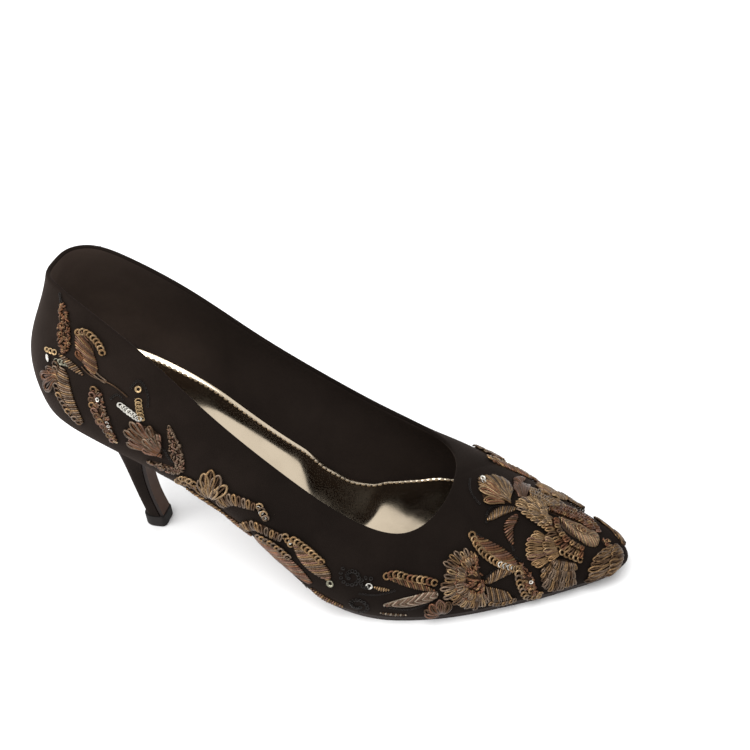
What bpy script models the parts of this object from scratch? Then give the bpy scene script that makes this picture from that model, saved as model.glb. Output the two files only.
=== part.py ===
"""Pointed court shoe with a slim high heel, right foot.

Build frame: +X toward the toe, +Y the inner (medial) side, +Z up, floor at z = 0.
All tables are in millimetres and are scaled to metres when the meshes are made.
"""
import bpy
import bmesh
import numpy as np

MM = 0.001

# ---------------------------------------------------------------- sizes, mm
WALL = 1.7                # upper: lining, stiffener and face together
GAP = 0.3                 # clearance between neighbouring pieces
INSOLE_THICKNESS = 1.6
INSOLE_SIDE_GAP = 0.5     # insole edge to the inside of the upper
SOLE_FOREPART = 3.6       # outsole thickness under the ball
SOLE_WAIST = 2.2          # outsole thickness at the heel breast
SOLE_TOE = 2.8            # outsole thickness at the toe tip
SOLE_EDGE_INSET = 0.8     # outsole edge inside the feather line
SOLE_EDGE_BEVEL = 0.9     # lower edge of the outsole, further inside
BREAST_X = 56.0           # front of the heel where it meets the outsole
BREAST_CORNER = 3.0       # radius of the outsole where it turns down the breast
BREAST_FLAP = 1.3         # outsole leather on the heel breast
HEEL_INSET = 0.5          # heel top inside the feather line
LIFT_HEIGHT = 5.6         # rubber top piece under the heel
COLUMNS = 52              # mesh columns, heel seam to toe, each side
ROWS_UP = 14              # mesh rows, feather line to top
ACROSS = 8                # mesh cells across the sole and insole

# Sections of the last, heel seam to toe tip.
#  foot_x, foot_lat, foot_med   feather line: station and half widths
#  top_x, top_lat, top_med, top_z   collar line, then the ridge of the vamp
#  ff, fo, fu   handle at the feather line: forward, outward, up
#  tf, to, td   handle at the top: forward, outward, down
LAST_COLUMNS = ("foot_x", "foot_lat", "foot_med", "top_x", "top_lat", "top_med", "top_z",
                "ff", "fo", "fu", "tf", "to", "td")
LAST = (
    (1.6, 0.0, 0.0, 21.6, 0.0, 0.0, 133.2, -2.6, 0.0, 20.0, -7.0, 0.0, 18.0),
    (7.5, 13.4, 13.8, 23.0, 9.8, 8.6, 133.0, -2.4, 2.0, 20.0, -5.4, 3.0, 18.0),
    (17.0, 23.2, 23.6, 29.4, 15.9, 14.2, 131.6, -1.1, 4.1, 19.0, -2.2, 4.8, 17.0),
    (34.0, 29.0, 28.2, 41.6, 19.0, 19.4, 123.6, -0.2, 6.2, 17.0, 0.2, 6.0, 16.0),
    (58.0, 30.6, 26.6, 61.6, 21.4, 25.2, 106.2, 0.8, 8.4, 15.5, 0.8, 6.4, 15.0),
    (84.0, 31.0, 22.6, 85.0, 25.2, 30.4, 82.9, 2.0, 9.8, 14.0, 1.2, 6.4, 14.0),
    (108.0, 37.0, 23.6, 110.3, 28.8, 34.4, 61.5, 2.2, 9.2, 13.0, 1.6, 6.8, 13.0),
    (132.0, 42.6, 30.8, 135.4, 31.4, 36.4, 44.3, 1.8, 6.6, 12.5, 2.4, 7.4, 11.0),
    (156.0, 41.6, 38.4, 155.4, 28.2, 32.8, 36.0, 1.4, 4.4, 13.0, 4.4, 11.2, 7.6),
    (176.0, 36.4, 38.8, 166.0, 16.8, 20.8, 36.9, 1.5, 3.8, 14.4, 8.4, 15.6, 3.6),
    (194.0, 28.6, 33.6, 170.6, 0.0, 0.0, 40.4, 1.7, 3.2, 15.0, 12.4, 20.8, 0.0),
    (208.0, 22.0, 25.6, 190.0, 0.0, 0.0, 32.8, 1.7, 2.7, 13.0, 10.4, 14.4, 0.0),
    (222.0, 14.6, 16.0, 206.6, 0.0, 0.0, 26.6, 1.5, 2.0, 10.6, 8.2, 10.2, 0.0),
    (233.0, 8.0, 8.3, 218.0, 0.0, 0.0, 20.8, 1.3, 1.3, 7.8, 6.8, 6.0, 0.0),
    (238.6, 0.0, 0.0, 224.2, 0.0, 0.0, 17.6, 1.2, 0.0, 6.2, 6.2, 0.0, 0.0),
)
THROAT = 10               # row where the collar closes on the centre plane
THROAT_EASE = 0.13        # share of the section positions eased each side of it
TOE_EASE = 0.08           # the same at the front end of the ridge

# Height of the feather line along the shoe: seat, waist, ball, toe spring.
BOTTOM_COLUMNS = ("x", "z")
BOTTOM = (
    (-4.0, 83.6), (12.0, 78.6), (30.0, 72.0), (55.0, 60.0), (80.0, 43.4), (104.0, 24.1),
    (120.0, 11.4), (133.0, 6.3), (145.0, 4.3), (160.0, 3.7), (178.0, 3.7), (194.0, 4.0),
    (210.0, 4.2), (226.0, 5.2), (242.0, 7.0),
)

# Heel, top of the lift up to the seat; the last row takes its height from the feather line.
HEEL_COLUMNS = ("back_x", "back_z", "front_x", "front_z", "half_lat", "half_med")
HEEL = (
    (31.0, 5.9, 39.0, 5.9, 4.5, 4.5),
    (29.4, 14.0, 37.3, 14.0, 4.4, 4.4),
    (27.8, 24.0, 36.4, 24.0, 4.5, 4.5),
    (26.2, 34.0, 36.8, 33.0, 4.9, 4.9),
    (24.2, 43.0, 38.8, 40.0, 6.2, 6.1),
    (21.6, 51.4, 42.4, 46.0, 9.1, 8.7),
    (17.6, 59.0, 46.8, 50.8, 13.4, 12.8),
    (12.2, 66.4, 50.8, 54.6, 18.6, 17.6),
    (6.8, 73.6, 53.8, 57.2, 24.0, 22.4),
    (3.2, 79.2, 55.2, 58.8, 27.8, 25.2),
)
LIFT = (                  # top piece: z, back_x, front_x, half width
    (0.0, 30.9, 40.7, 4.6),
    (0.5, 30.5, 41.1, 5.0),
    (5.6, 30.5, 41.1, 5.0),
)
LIFT_BACK_REACH = 5.6     # back of the top piece to its widest point
LIFT_BACK_ROUND = 0.9     # power of the outline: 1 is an ellipse, less is squarer
LIFT_FRONT_ROUND = 0.36


# ------------------------------------------------------------------ splines
def spline(k, y, flat_start=False, flat_end=False):
    """Cubic spline through (k, y): natural ends, or level where an end is flat."""
    k = np.asarray(k, float)
    y = np.asarray(y, float)
    n = len(k)
    h = np.diff(k)
    a = np.zeros((n, n))
    b = np.zeros(n)
    for i in range(1, n - 1):
        a[i, i - 1] = h[i - 1]
        a[i, i] = 2.0 * (h[i - 1] + h[i])
        a[i, i + 1] = h[i]
        b[i] = 6.0 * ((y[i + 1] - y[i]) / h[i] - (y[i] - y[i - 1]) / h[i - 1])
    a[0, 0] = 1.0
    a[-1, -1] = 1.0
    if flat_start:
        a[0, 0] = 2.0 * h[0]
        a[0, 1] = h[0]
        b[0] = 6.0 * (y[1] - y[0]) / h[0]
    if flat_end:
        a[-1, -1] = 2.0 * h[-1]
        a[-1, -2] = h[-1]
        b[-1] = -6.0 * (y[-1] - y[-2]) / h[-1]
    m = np.linalg.solve(a, b)

    def value(t, order=0):
        t = np.asarray(t, float)
        i = np.clip(np.searchsorted(k, t, side="right") - 1, 0, n - 2)
        w = h[i]
        p = (k[i + 1] - t) / w
        q = (t - k[i]) / w
        if order == 1:
            return ((y[i + 1] - y[i]) / w
                    + w / 6.0 * (m[i + 1] * (3.0 * q * q - 1.0) - m[i] * (3.0 * p * p - 1.0)))
        return (p * y[i] + q * y[i + 1]
                + w * w / 6.0 * ((p ** 3 - p) * m[i] + (q ** 3 - q) * m[i + 1]))

    return value


TABLE = np.array(LAST)
COL = {name: TABLE[:, i] for i, name in enumerate(LAST_COLUMNS)}
BOTTOM_TABLE = np.array(BOTTOM)
bottom_z = spline(BOTTOM_TABLE[:, 0], BOTTOM_TABLE[:, 1])


def section_knots():
    """Section positions 0..1 by mean distance along the feather and top lines."""
    foot = np.stack([COL["foot_x"], (COL["foot_lat"] + COL["foot_med"]) / 2.0,
                     bottom_z(COL["foot_x"])], axis=1)
    top = np.stack([COL["top_x"], (COL["top_lat"] + COL["top_med"]) / 2.0, COL["top_z"]], axis=1)
    step = (np.linalg.norm(np.diff(foot, axis=0), axis=1)
            + np.linalg.norm(np.diff(top, axis=0), axis=1))
    k = np.concatenate([[0.0], np.cumsum(step)])
    return k / k[-1]


KNOT = section_knots()
K_THROAT = KNOT[THROAT]
COLLAR = slice(0, THROAT + 1)
RIDGE = slice(THROAT, None)

foot_x = spline(KNOT, COL["foot_x"], True, True)
foot_half = {-1: spline(KNOT, COL["foot_lat"]), 1: spline(KNOT, COL["foot_med"])}
collar_x = spline(KNOT[COLLAR], COL["top_x"][COLLAR], True, True)
collar_z = spline(KNOT[COLLAR], COL["top_z"][COLLAR], True, True)
collar_half = {-1: spline(KNOT[COLLAR], COL["top_lat"][COLLAR]),
               1: spline(KNOT[COLLAR], COL["top_med"][COLLAR])}
ridge_x = spline(KNOT[RIDGE], COL["top_x"][RIDGE])
ridge_z = spline(KNOT[RIDGE], COL["top_z"][RIDGE])


def top_down_handle():
    """The vamp sections leave the ridge level with it, so the crown is smooth."""
    down = COL["td"].copy()
    slope = ridge_z(KNOT[RIDGE], 1) / ridge_x(KNOT[RIDGE], 1)
    down[RIDGE] = -slope * COL["tf"][RIDGE]
    return down


handle = {
    "ff": spline(KNOT, COL["ff"], True, True),
    "fo": spline(KNOT, COL["fo"]),
    "fu": spline(KNOT, COL["fu"], True, True),
    "tf": spline(KNOT, COL["tf"], True, True),
    "to": spline(KNOT, COL["to"]),
    "td": spline(KNOT, top_down_handle(), True, True),
}


def foot_line(s, side):
    x = foot_x(s)
    return np.stack([x, side * foot_half[side](s), bottom_z(x)], axis=-1)


def eased(d, reach):
    """Distance from a corner of the top line, slowed to rest at the corner itself."""
    return np.where(d < reach, (2.0 * d ** 2 - d ** 3 / reach) / reach, d)


def top_position(s):
    """Top line position: it rests at the throat and at the toe, so no crease starts there."""
    u = K_THROAT + np.sign(s - K_THROAT) * eased(np.abs(s - K_THROAT), THROAT_EASE)
    return 1.0 - eased(1.0 - u, TOE_EASE)


def top_line(s, side):
    s = np.asarray(s, float)
    u = top_position(s)
    on_collar = s <= K_THROAT
    x = np.where(on_collar, collar_x(u), ridge_x(u))
    y = np.where(on_collar, side * collar_half[side](u), 0.0)
    z = np.where(on_collar, collar_z(u), ridge_z(u))
    return np.stack([x, y, z], axis=-1)


def outer_point(s, v, side):
    """Outside of the upper at section s (0 heel seam, 1 toe) and height v (0 feather, 1 top)."""
    s = np.asarray(s, float)
    v = np.asarray(v, float)[..., None]
    foot = foot_line(s, side)
    top = top_line(s, side)
    low = foot + np.stack([handle["ff"](s), side * handle["fo"](s), handle["fu"](s)], axis=-1)
    high = top + np.stack([handle["tf"](s), side * handle["to"](s), -handle["td"](s)], axis=-1)
    w = 1.0 - v
    return w ** 3 * foot + 3.0 * w * w * v * low + 3.0 * w * v * v * high + v ** 3 * top


def inset_outline(s, side, inset):
    """Feather line moved inward in plan."""
    s = np.asarray(s, float)
    step = 1.0e-4
    a = foot_line(np.clip(s - step, 0.0, 1.0), side)
    b = foot_line(np.clip(s + step, 0.0, 1.0), side)
    along = (b - a)[..., :2]
    along /= np.maximum(np.linalg.norm(along, axis=-1, keepdims=True), 1e-9)
    inward = np.stack([along[..., 1], -along[..., 0]], axis=-1) * side
    point = foot_line(s, side)
    x = point[..., 0] + inward[..., 0] * inset
    y = point[..., 1] + inward[..., 1] * inset
    return np.stack([x, y, bottom_z(x)], axis=-1)


# ------------------------------------------------------------- mesh helpers
def new_material(name, color, roughness, metallic):
    mat = bpy.data.materials.new(name)
    mat.use_nodes = True
    bsdf = mat.node_tree.nodes.get("Principled BSDF")
    bsdf.inputs["Base Color"].default_value = (color[0], color[1], color[2], 1.0)
    bsdf.inputs["Roughness"].default_value = roughness
    bsdf.inputs["Metallic"].default_value = metallic
    mat.diffuse_color = (color[0], color[1], color[2], 1.0)
    return mat


def make_object(name, verts, faces, mat, shift, sharp_angle=None):
    mesh = bpy.data.meshes.new(name)
    coords = (np.asarray(verts, float) - shift) * MM
    mesh.from_pydata([tuple(p) for p in coords], [], faces)
    mesh.validate()
    bm = bmesh.new()
    bm.from_mesh(mesh)
    bmesh.ops.recalc_face_normals(bm, faces=bm.faces[:])
    if bm.calc_volume(signed=True) < 0.0:
        bmesh.ops.reverse_faces(bm, faces=bm.faces[:])
    bm.to_mesh(mesh)
    bm.free()
    for poly in mesh.polygons:
        poly.use_smooth = True
    mesh.set_sharp_from_angle(angle=np.radians(sharp_angle if sharp_angle else 40.0))
    mesh.materials.append(mat)
    obj = bpy.data.objects.new(name, mesh)
    bpy.context.scene.collection.objects.link(obj)
    return obj


def vertex_normals(verts, faces):
    """Area weighted vertex normals of an indexed mesh."""
    v = np.asarray(verts, float)
    out = np.zeros_like(v)
    for face in faces:
        p = v[list(face)]
        n = np.zeros(3)
        for i in range(1, len(face) - 1):
            n += np.cross(p[i] - p[0], p[i + 1] - p[0])
        for i in face:
            out[i] += n
    return out / np.maximum(np.linalg.norm(out, axis=1, keepdims=True), 1e-12)


# ------------------------------------------------------------------ the upper
def column_positions():
    """Columns from heel seam to toe, closer together round the heel and the toe."""
    i = np.arange(COLUMNS + 1) / COLUMNS
    s = i - 0.075 * np.sin(2.0 * np.pi * i) / np.pi
    nearest = int(np.argmin(np.abs(s - K_THROAT)))
    s += (K_THROAT - s[nearest]) * np.sin(np.pi * i) ** 2 / np.sin(np.pi * i[nearest]) ** 2
    s[nearest] = K_THROAT
    return s, nearest


def upper_geometry():
    s, throat = column_positions()
    v = np.linspace(0.0, 1.0, ROWS_UP + 1)
    index = {}
    verts = []

    def vertex(i, j, side):
        """Shared on the centre plane: heel seam, toe column and ridge of the vamp."""
        centre = i == 0 or i == COLUMNS or (j == ROWS_UP and i >= throat)
        key = (i, j, 0 if centre else side)
        if key not in index:
            index[key] = len(verts)
            p = outer_point(s[i], v[j], side)
            if centre:
                p[1] = 0.0
            verts.append(p)
        return index[key]

    faces = []
    for side in (-1, 1):
        for i in range(COLUMNS):
            for j in range(ROWS_UP):
                quad = [vertex(i, j, side), vertex(i + 1, j, side),
                        vertex(i + 1, j + 1, side), vertex(i, j + 1, side)]
                if side > 0:
                    quad.reverse()
                faces.append(tuple(quad))
    verts = np.array(verts)
    normals = vertex_normals(verts, faces)
    inner = verts - normals * WALL
    for (i, j, side), n in index.items():
        if j == 0:
            flat = normals[n].copy()
            flat[2] = 0.0
            flat /= np.linalg.norm(flat)
            inner[n] = verts[n] - flat * WALL
            inner[n][2] = bottom_z(inner[n][0])
        if side == 0:
            inner[n][1] = 0.0
    count = len(verts)
    shell = list(faces) + [tuple(reversed([n + count for n in f])) for f in faces]

    def rim(loop):
        for a, b in zip(loop, loop[1:] + loop[:1]):
            shell.append((a, b, b + count, a + count))

    feather = [vertex(i, 0, -1) for i in range(COLUMNS + 1)]
    feather += [vertex(i, 0, 1) for i in range(COLUMNS - 1, 0, -1)]
    collar = [vertex(i, ROWS_UP, -1) for i in range(throat + 1)]
    collar += [vertex(i, ROWS_UP, 1) for i in range(throat - 1, 0, -1)]
    rim(feather)
    rim(collar)
    return np.concatenate([verts, inner]), shell


# ----------------------------------------------------- plates: insole, outsole
def strip_solid(upper_rows, lower_rows):
    """Closed plate from matching rows of points; a row of one point closes an end."""
    verts = []
    top_index = []
    low_index = []
    for rows, store in ((upper_rows, top_index), (lower_rows, low_index)):
        for row in rows:
            store.append(list(range(len(verts), len(verts) + len(row))))
            verts.extend(row)
    faces = []
    for grid, flip in ((top_index, False), (low_index, True)):
        for a, b in zip(grid, grid[1:]):
            if len(a) == 1:
                new = [(a[0], b[j], b[j + 1]) for j in range(len(b) - 1)]
            elif len(b) == 1:
                new = [(a[j], b[0], a[j + 1]) for j in range(len(a) - 1)]
            else:
                new = [(a[j], b[j], b[j + 1], a[j + 1]) for j in range(len(a) - 1)]
            faces += [tuple(reversed(f)) for f in new] if flip else new
    for k in range(len(top_index) - 1):
        for pick in (0, -1):
            a, b = top_index[k][pick], top_index[k + 1][pick]
            c, d = low_index[k + 1][pick], low_index[k][pick]
            faces.append((a, b, c, d))
    for k in (0, -1):
        t, u = top_index[k], low_index[k]
        for j in range(len(t) - 1):
            faces.append((t[j], t[j + 1], u[j + 1], u[j]))
    return np.array(verts), faces


def cross_row(s, inset, rise):
    """Points across the shoe between the inset outlines; rise is taken from the feather line."""
    left = inset_outline(s, -1, inset)
    right = inset_outline(s, 1, inset)
    t = np.linspace(0.0, 1.0, ACROSS + 1)[:, None]
    row = left * (1.0 - t) + right * t
    row[:, 2] = bottom_z(row[:, 0]) + rise
    return row


def end_point(s, inset, rise):
    p = inset_outline(s, 1, inset)
    return np.array([[p[0], 0.0, bottom_z(p[0]) + rise]])


def insole_geometry():
    inset = WALL + INSOLE_SIDE_GAP
    stations = np.linspace(0.0, 1.0, 45)
    stations = stations - 0.09 * np.sin(2.0 * np.pi * stations) / np.pi
    top = []
    low = []
    for s in stations:
        tip = s in (stations[0], stations[-1])
        row = end_point if tip else cross_row
        top.append(row(s, inset, INSOLE_THICKNESS))
        low.append(row(s, inset, 0.0))
    return strip_solid(top, low)


def section_at(x):
    """Section position whose feather line stands at x."""
    s = np.linspace(0.0, 1.0, 4001)
    return float(np.interp(x, foot_x(s), s))


def heel_front(z):
    """Front line of the heel on the centre plane."""
    rows = np.array(HEEL)
    seat = (BREAST_X, float(bottom_z(BREAST_X)) - GAP)
    zs = np.append(rows[:, 3], seat[1])
    xs = np.append(rows[:, 2], seat[0])
    return spline(zs, xs)(z)


def heel_front_half(z, side):
    rows = np.array(HEEL)
    s = section_at(BREAST_X)
    half = foot_half[side](s) - HEEL_INSET
    zs = np.append(rows[:, 3], float(bottom_z(BREAST_X)) - GAP)
    ys = np.append(rows[:, 4 if side < 0 else 5], half)
    return spline(zs, ys)(z)


def outsole_thickness(x):
    if x > 150.0:
        return float(np.interp(x, (196.0, 238.0), (SOLE_FOREPART, SOLE_TOE)))
    return float(np.interp(x, (BREAST_X, 120.0, 150.0), (SOLE_WAIST, 2.8, SOLE_FOREPART)))


def flap_rows(z):
    """Centre-plane points of the breast flap at height z: against the heel, and its face."""
    x = float(heel_front(z)) + GAP
    slope = (float(heel_front(z + 0.2)) - float(heel_front(z - 0.2))) / 0.4
    normal = np.array([1.0, -slope]) / np.hypot(1.0, slope)
    near = np.array([x, z])
    return near, near + normal * BREAST_FLAP


def level_row(point, lat, med):
    """Straight row across the shoe at a centre-plane point."""
    t = np.linspace(-1.0, 1.0, ACROSS + 1)
    y = np.where(t < 0.0, t * lat, t * med)
    return np.stack([np.full_like(y, point[0]), y, np.full_like(y, point[1])], axis=1)


def outsole_geometry():
    """Thin sole, toe to heel breast, turning down the breast of the heel as a flap."""
    top = []
    low = []
    turn_x = BREAST_X + GAP + BREAST_CORNER
    s_turn = section_at(turn_x)
    stations = np.linspace(0.0, 1.0, 38)
    stations = 1.0 - (1.0 - s_turn) * (stations - 0.08 * np.sin(2.0 * np.pi * stations) / np.pi)
    for s in stations:
        thick = outsole_thickness(float(foot_x(s)))
        row = end_point if s == stations[0] else cross_row
        upper = row(s, SOLE_EDGE_INSET, -GAP)
        lower = row(s, SOLE_EDGE_INSET + SOLE_EDGE_BEVEL, -GAP - thick)
        lower[:, 2] = np.maximum(lower[:, 2], 0.0)
        top.append(upper)
        low.append(lower)
    # the turn: a sharp corner against the heel, a soft hollow on the visible side
    corner_x = BREAST_X + GAP
    corner = np.array([corner_x, float(bottom_z(corner_x)) - GAP])
    start = np.array([turn_x, float(bottom_z(turn_x)) - GAP])
    start_face = start - np.array([0.0, SOLE_WAIST])
    flap_top = corner[1] - BREAST_CORNER - 1.5
    end, end_face = flap_rows(flap_top)
    slope = (corner[1] - start[1]) / (corner[0] - start[0])
    bend_x = end_face[0] + 1.2
    bend = np.array([bend_x, start_face[1] + slope * (bend_x - start_face[0])])
    half_start = [-float(inset_outline(s_turn, -1, SOLE_EDGE_INSET)[1]),
                  float(inset_outline(s_turn, 1, SOLE_EDGE_INSET)[1])]
    half_end = [float(heel_front_half(flap_top, side)) - 0.5 for side in (-1, 1)]
    for f in (0.25, 0.5, 0.75):
        if f < 0.5:
            near = start + (corner - start) * f * 2.0
        elif f > 0.5:
            near = flap_rows(corner[1] + (flap_top - corner[1]) * (f - 0.5) * 2.0)[0]
        else:
            near = corner
        face = (1.0 - f) ** 2 * start_face + 2.0 * f * (1.0 - f) * bend + f * f * end_face
        lat, med = (half_start[k] + (half_end[k] - half_start[k]) * f ** 1.6 for k in (0, 1))
        top.append(level_row(near, lat, med))
        low.append(level_row(face, lat - SOLE_EDGE_BEVEL, med - SOLE_EDGE_BEVEL))
    for z in (flap_top, 51.0, 47.5, 43.0, 37.0, 30.0, 21.0, 13.0, LIFT_HEIGHT + GAP):
        near, face = flap_rows(z)
        if z == LIFT_HEIGHT + GAP:
            face[1] = z
        lat, med = (float(heel_front_half(z, side)) - 0.5 for side in (-1, 1))
        edge = min(SOLE_EDGE_BEVEL, 0.08 * lat)
        top.append(level_row(near, lat, med))
        low.append(level_row(face, lat - edge, med - edge))
    return strip_solid(top, low)


# ------------------------------------------------------------------ the heel
def seat_ring():
    """Seat outline, breast corner round the back to the other corner, with unit coordinates."""
    s_breast = section_at(BREAST_X)
    s = s_breast * np.linspace(1.0, 0.0, 15)
    lateral = inset_outline(s, -1, HEEL_INSET)
    medial = inset_outline(s[::-1][1:], 1, HEEL_INSET)
    lateral[-1, 1] = 0.0
    ring = np.concatenate([lateral, medial])
    t = np.linspace(0.0, 1.0, 7)[1:-1, None]
    front = ring[-1] * (1.0 - t) + ring[0] * t
    ring = np.concatenate([ring, front])
    ring[:, 2] = bottom_z(ring[:, 0]) - GAP
    return ring


def heel_geometry():
    ring = seat_ring()
    back = ring[:, 0].min()
    front = ring[:, 0].max()
    u = (ring[:, 0] - back) / (front - back)
    lat = -ring[:, 1].min()
    med = ring[:, 1].max()
    w = np.where(ring[:, 1] < 0.0, ring[:, 1] / lat, ring[:, 1] / med)
    levels = np.array(HEEL)
    k = np.arange(len(levels) + 1) / len(levels)
    seat = (back, ring[0, 2] * 0.0 + float(bottom_z(back)) - GAP, front,
            float(bottom_z(front)) - GAP, lat, med)
    table = np.vstack([levels, seat])
    curves = [spline(k, table[:, c]) for c in range(6)]
    fine = np.linspace(0.0, 1.0, 25)
    verts = []
    for f in fine[:-1]:
        bx, bz, fx, fz, hl, hm = (float(c(f)) for c in curves)
        x = bx + (fx - bx) * u
        y = np.where(w < 0.0, hl, hm) * w
        chord = bz + (fz - bz) * u
        sag = bottom_z(ring[:, 0]) - GAP - (seat[1] + (seat[3] - seat[1]) * u)
        z = chord + sag * f ** 3
        verts.extend(np.stack([x, y, z], axis=1))
    verts.extend(ring)
    n = len(ring)
    faces = []
    for r in range(len(fine) - 1):
        for j in range(n):
            a = r * n + j
            b = r * n + (j + 1) % n
            faces.append((a, b, b + n, a + n))
    faces += cap_faces(0, n)
    faces += cap_faces((len(fine) - 1) * n, n)
    return np.array(verts), faces


def cap_faces(start, n, half=15):
    """Close a D ring by joining matching points of its two sides."""
    side_a = [start + j for j in range(half)]
    side_b = [start + (2 * half - 2 - j) for j in range(half)]
    faces = []
    for j in range(half - 2):
        faces.append((side_a[j], side_a[j + 1], side_b[j + 1], side_b[j]))
    faces.append((side_a[half - 2], side_a[half - 1], side_b[half - 2]))
    front = [start + j for j in range(2 * half - 1, n)]
    faces.append(tuple([side_b[0]] + front + [side_a[0]]))
    return faces


def lift_ring(back, front, half, z):
    """D outline with a round back and softened front corners, in the order of the seat ring."""
    around = np.concatenate([np.linspace(40.0, 320.0, 29), np.linspace(320.0, 400.0, 7)[1:-1]])
    turn = -np.radians(around)
    cos = np.cos(turn)
    sin = np.sin(turn)
    ahead = cos > 0.0
    middle = back + LIFT_BACK_REACH
    reach = np.where(ahead, front - middle, LIFT_BACK_REACH)
    power = np.where(ahead, LIFT_FRONT_ROUND, LIFT_BACK_ROUND)
    x = middle + reach * np.sign(cos) * np.abs(cos) ** power
    y = half * np.sign(sin) * np.abs(sin) ** power
    return np.stack([x, y, np.full_like(x, z)], axis=1)


def lift_geometry():
    rings = [lift_ring(back, front, half, z) for z, back, front, half in LIFT]
    n = len(rings[0])
    faces = []
    for r in range(len(LIFT) - 1):
        for j in range(n):
            a = r * n + j
            b = r * n + (j + 1) % n
            faces.append((a, b, b + n, a + n))
    faces += cap_faces(0, n)
    faces += cap_faces((len(LIFT) - 1) * n, n)
    return np.concatenate(rings), faces


# ------------------------------------------------------------------ assembly
def build():
    for obj in list(bpy.data.objects):
        bpy.data.objects.remove(obj, do_unlink=True)
    velvet = new_material("black_velvet", (0.016, 0.011, 0.010), 0.88, 0.0)
    heel_velvet = new_material("heel_velvet", (0.014, 0.010, 0.009), 0.88, 0.0)
    sole_leather = new_material("brown_sole_leather", (0.090, 0.055, 0.038), 0.55, 0.0)
    rubber = new_material("black_rubber", (0.012, 0.012, 0.012), 0.65, 0.0)
    pewter = new_material("pewter_gold_leather", (0.330, 0.270, 0.170), 0.34, 0.75)
    pieces = (
        ("upper", upper_geometry(), velvet),
        ("outsole", outsole_geometry(), sole_leather),
        ("heel", heel_geometry(), heel_velvet),
        ("top_piece", lift_geometry(), rubber),
        ("insole", insole_geometry(), pewter),
    )
    everything = np.concatenate([geometry[0] for _, geometry, _ in pieces])
    low = everything.min(axis=0)
    high = everything.max(axis=0)
    shift = np.array([(low[0] + high[0]) / 2.0, (low[1] + high[1]) / 2.0, low[2]])
    for name, (verts, faces), mat in pieces:
        make_object(name, verts, faces, mat, shift)


build()
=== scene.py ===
"""A right-foot high heel court shoe in black velvet, with metal-thread flower embroidery.

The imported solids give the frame. This script makes the same last surface finer, covers it in
velvet, sews the threads and sequins on it, and finishes the sock, the sole and the heel.
Tables of the last are in millimetres in the last-maker's own frame; pieces are in metres.
"""
import math

import bmesh
import bpy
import numpy as np
from mathutils import Matrix, Vector
from mathutils.bvhtree import BVHTree


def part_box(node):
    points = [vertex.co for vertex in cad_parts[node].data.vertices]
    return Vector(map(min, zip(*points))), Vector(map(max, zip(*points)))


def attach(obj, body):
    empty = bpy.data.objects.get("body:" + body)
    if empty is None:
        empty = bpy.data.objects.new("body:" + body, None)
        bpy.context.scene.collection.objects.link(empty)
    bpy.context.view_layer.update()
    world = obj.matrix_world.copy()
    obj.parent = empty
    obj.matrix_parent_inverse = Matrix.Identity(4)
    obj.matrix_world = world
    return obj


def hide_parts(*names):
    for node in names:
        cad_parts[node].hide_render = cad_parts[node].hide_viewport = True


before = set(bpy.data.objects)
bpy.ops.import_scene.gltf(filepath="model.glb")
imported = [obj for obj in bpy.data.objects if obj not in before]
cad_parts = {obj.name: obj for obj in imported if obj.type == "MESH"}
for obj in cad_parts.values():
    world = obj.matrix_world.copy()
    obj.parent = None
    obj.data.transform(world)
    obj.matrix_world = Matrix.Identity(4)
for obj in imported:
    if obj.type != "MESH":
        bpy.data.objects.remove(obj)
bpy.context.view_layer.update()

MM = 0.001
WALL = 1.7 * MM               # upper: lining, stiffener and face together
GAP = 0.3 * MM                # clearance between neighbouring pieces

# ------------------------------------------------------------------- the last
# One row per section from the heel seam to the toe: the foot of the section on the feather
# line, its top on the collar or the ridge, and the handles that bulge it in between.
LAST_COLUMNS = ("foot_x", "foot_lat", "foot_med", "top_x", "top_lat", "top_med", "top_z",
                "ff", "fo", "fu", "tf", "to", "td")
LAST = (
    (1.6, 0, 0, 21.6, 0, 0, 133.2, -2.6, 0, 20, -7, 0, 18),
    (7.5, 13.4, 13.8, 23, 9.8, 8.6, 133, -2.4, 2, 20, -5.4, 3, 18),
    (17, 23.2, 23.6, 29.4, 15.9, 14.2, 131.6, -1.1, 4.1, 19, -2.2, 4.8, 17),
    (34, 29, 28.2, 41.6, 19, 19.4, 123.6, -0.2, 6.2, 17, 0.2, 6, 16),
    (58, 30.6, 26.6, 61.6, 21.4, 25.2, 106.2, 0.8, 8.4, 15.5, 0.8, 6.4, 15),
    (84, 31, 22.6, 85, 25.2, 30.4, 82.9, 2, 9.8, 14, 1.2, 6.4, 14),
    (108, 37, 23.6, 110.3, 28.8, 34.4, 61.5, 2.2, 9.2, 13, 1.6, 6.8, 13),
    (132, 42.6, 30.8, 135.4, 31.4, 36.4, 44.3, 1.8, 6.6, 12.5, 2.4, 7.4, 11),
    (156, 41.6, 38.4, 155.4, 28.2, 32.8, 36, 1.4, 4.4, 13, 4.4, 11.2, 7.6),
    (176, 36.4, 38.8, 166, 16.8, 20.8, 36.9, 1.5, 3.8, 14.4, 8.4, 15.6, 3.6),
    (194, 28.6, 33.6, 170.6, 0, 0, 40.4, 1.7, 3.2, 15, 12.4, 20.8, 0),
    (208, 22, 25.6, 190, 0, 0, 32.8, 1.7, 2.7, 13, 10.4, 14.4, 0),
    (222, 14.6, 16, 206.6, 0, 0, 26.6, 1.5, 2, 10.6, 8.2, 10.2, 0),
    (233, 8, 8.3, 218, 0, 0, 20.8, 1.3, 1.3, 7.8, 6.8, 6, 0),
    (238.6, 0, 0, 224.2, 0, 0, 17.6, 1.2, 0, 6.2, 6.2, 0, 0),
)
THROAT = 10                   # row where the collar closes on the centre plane
THROAT_EASE = 0.13            # share of the section positions eased each side of it
TOE_EASE = 0.08               # the same at the front end of the ridge

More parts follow.
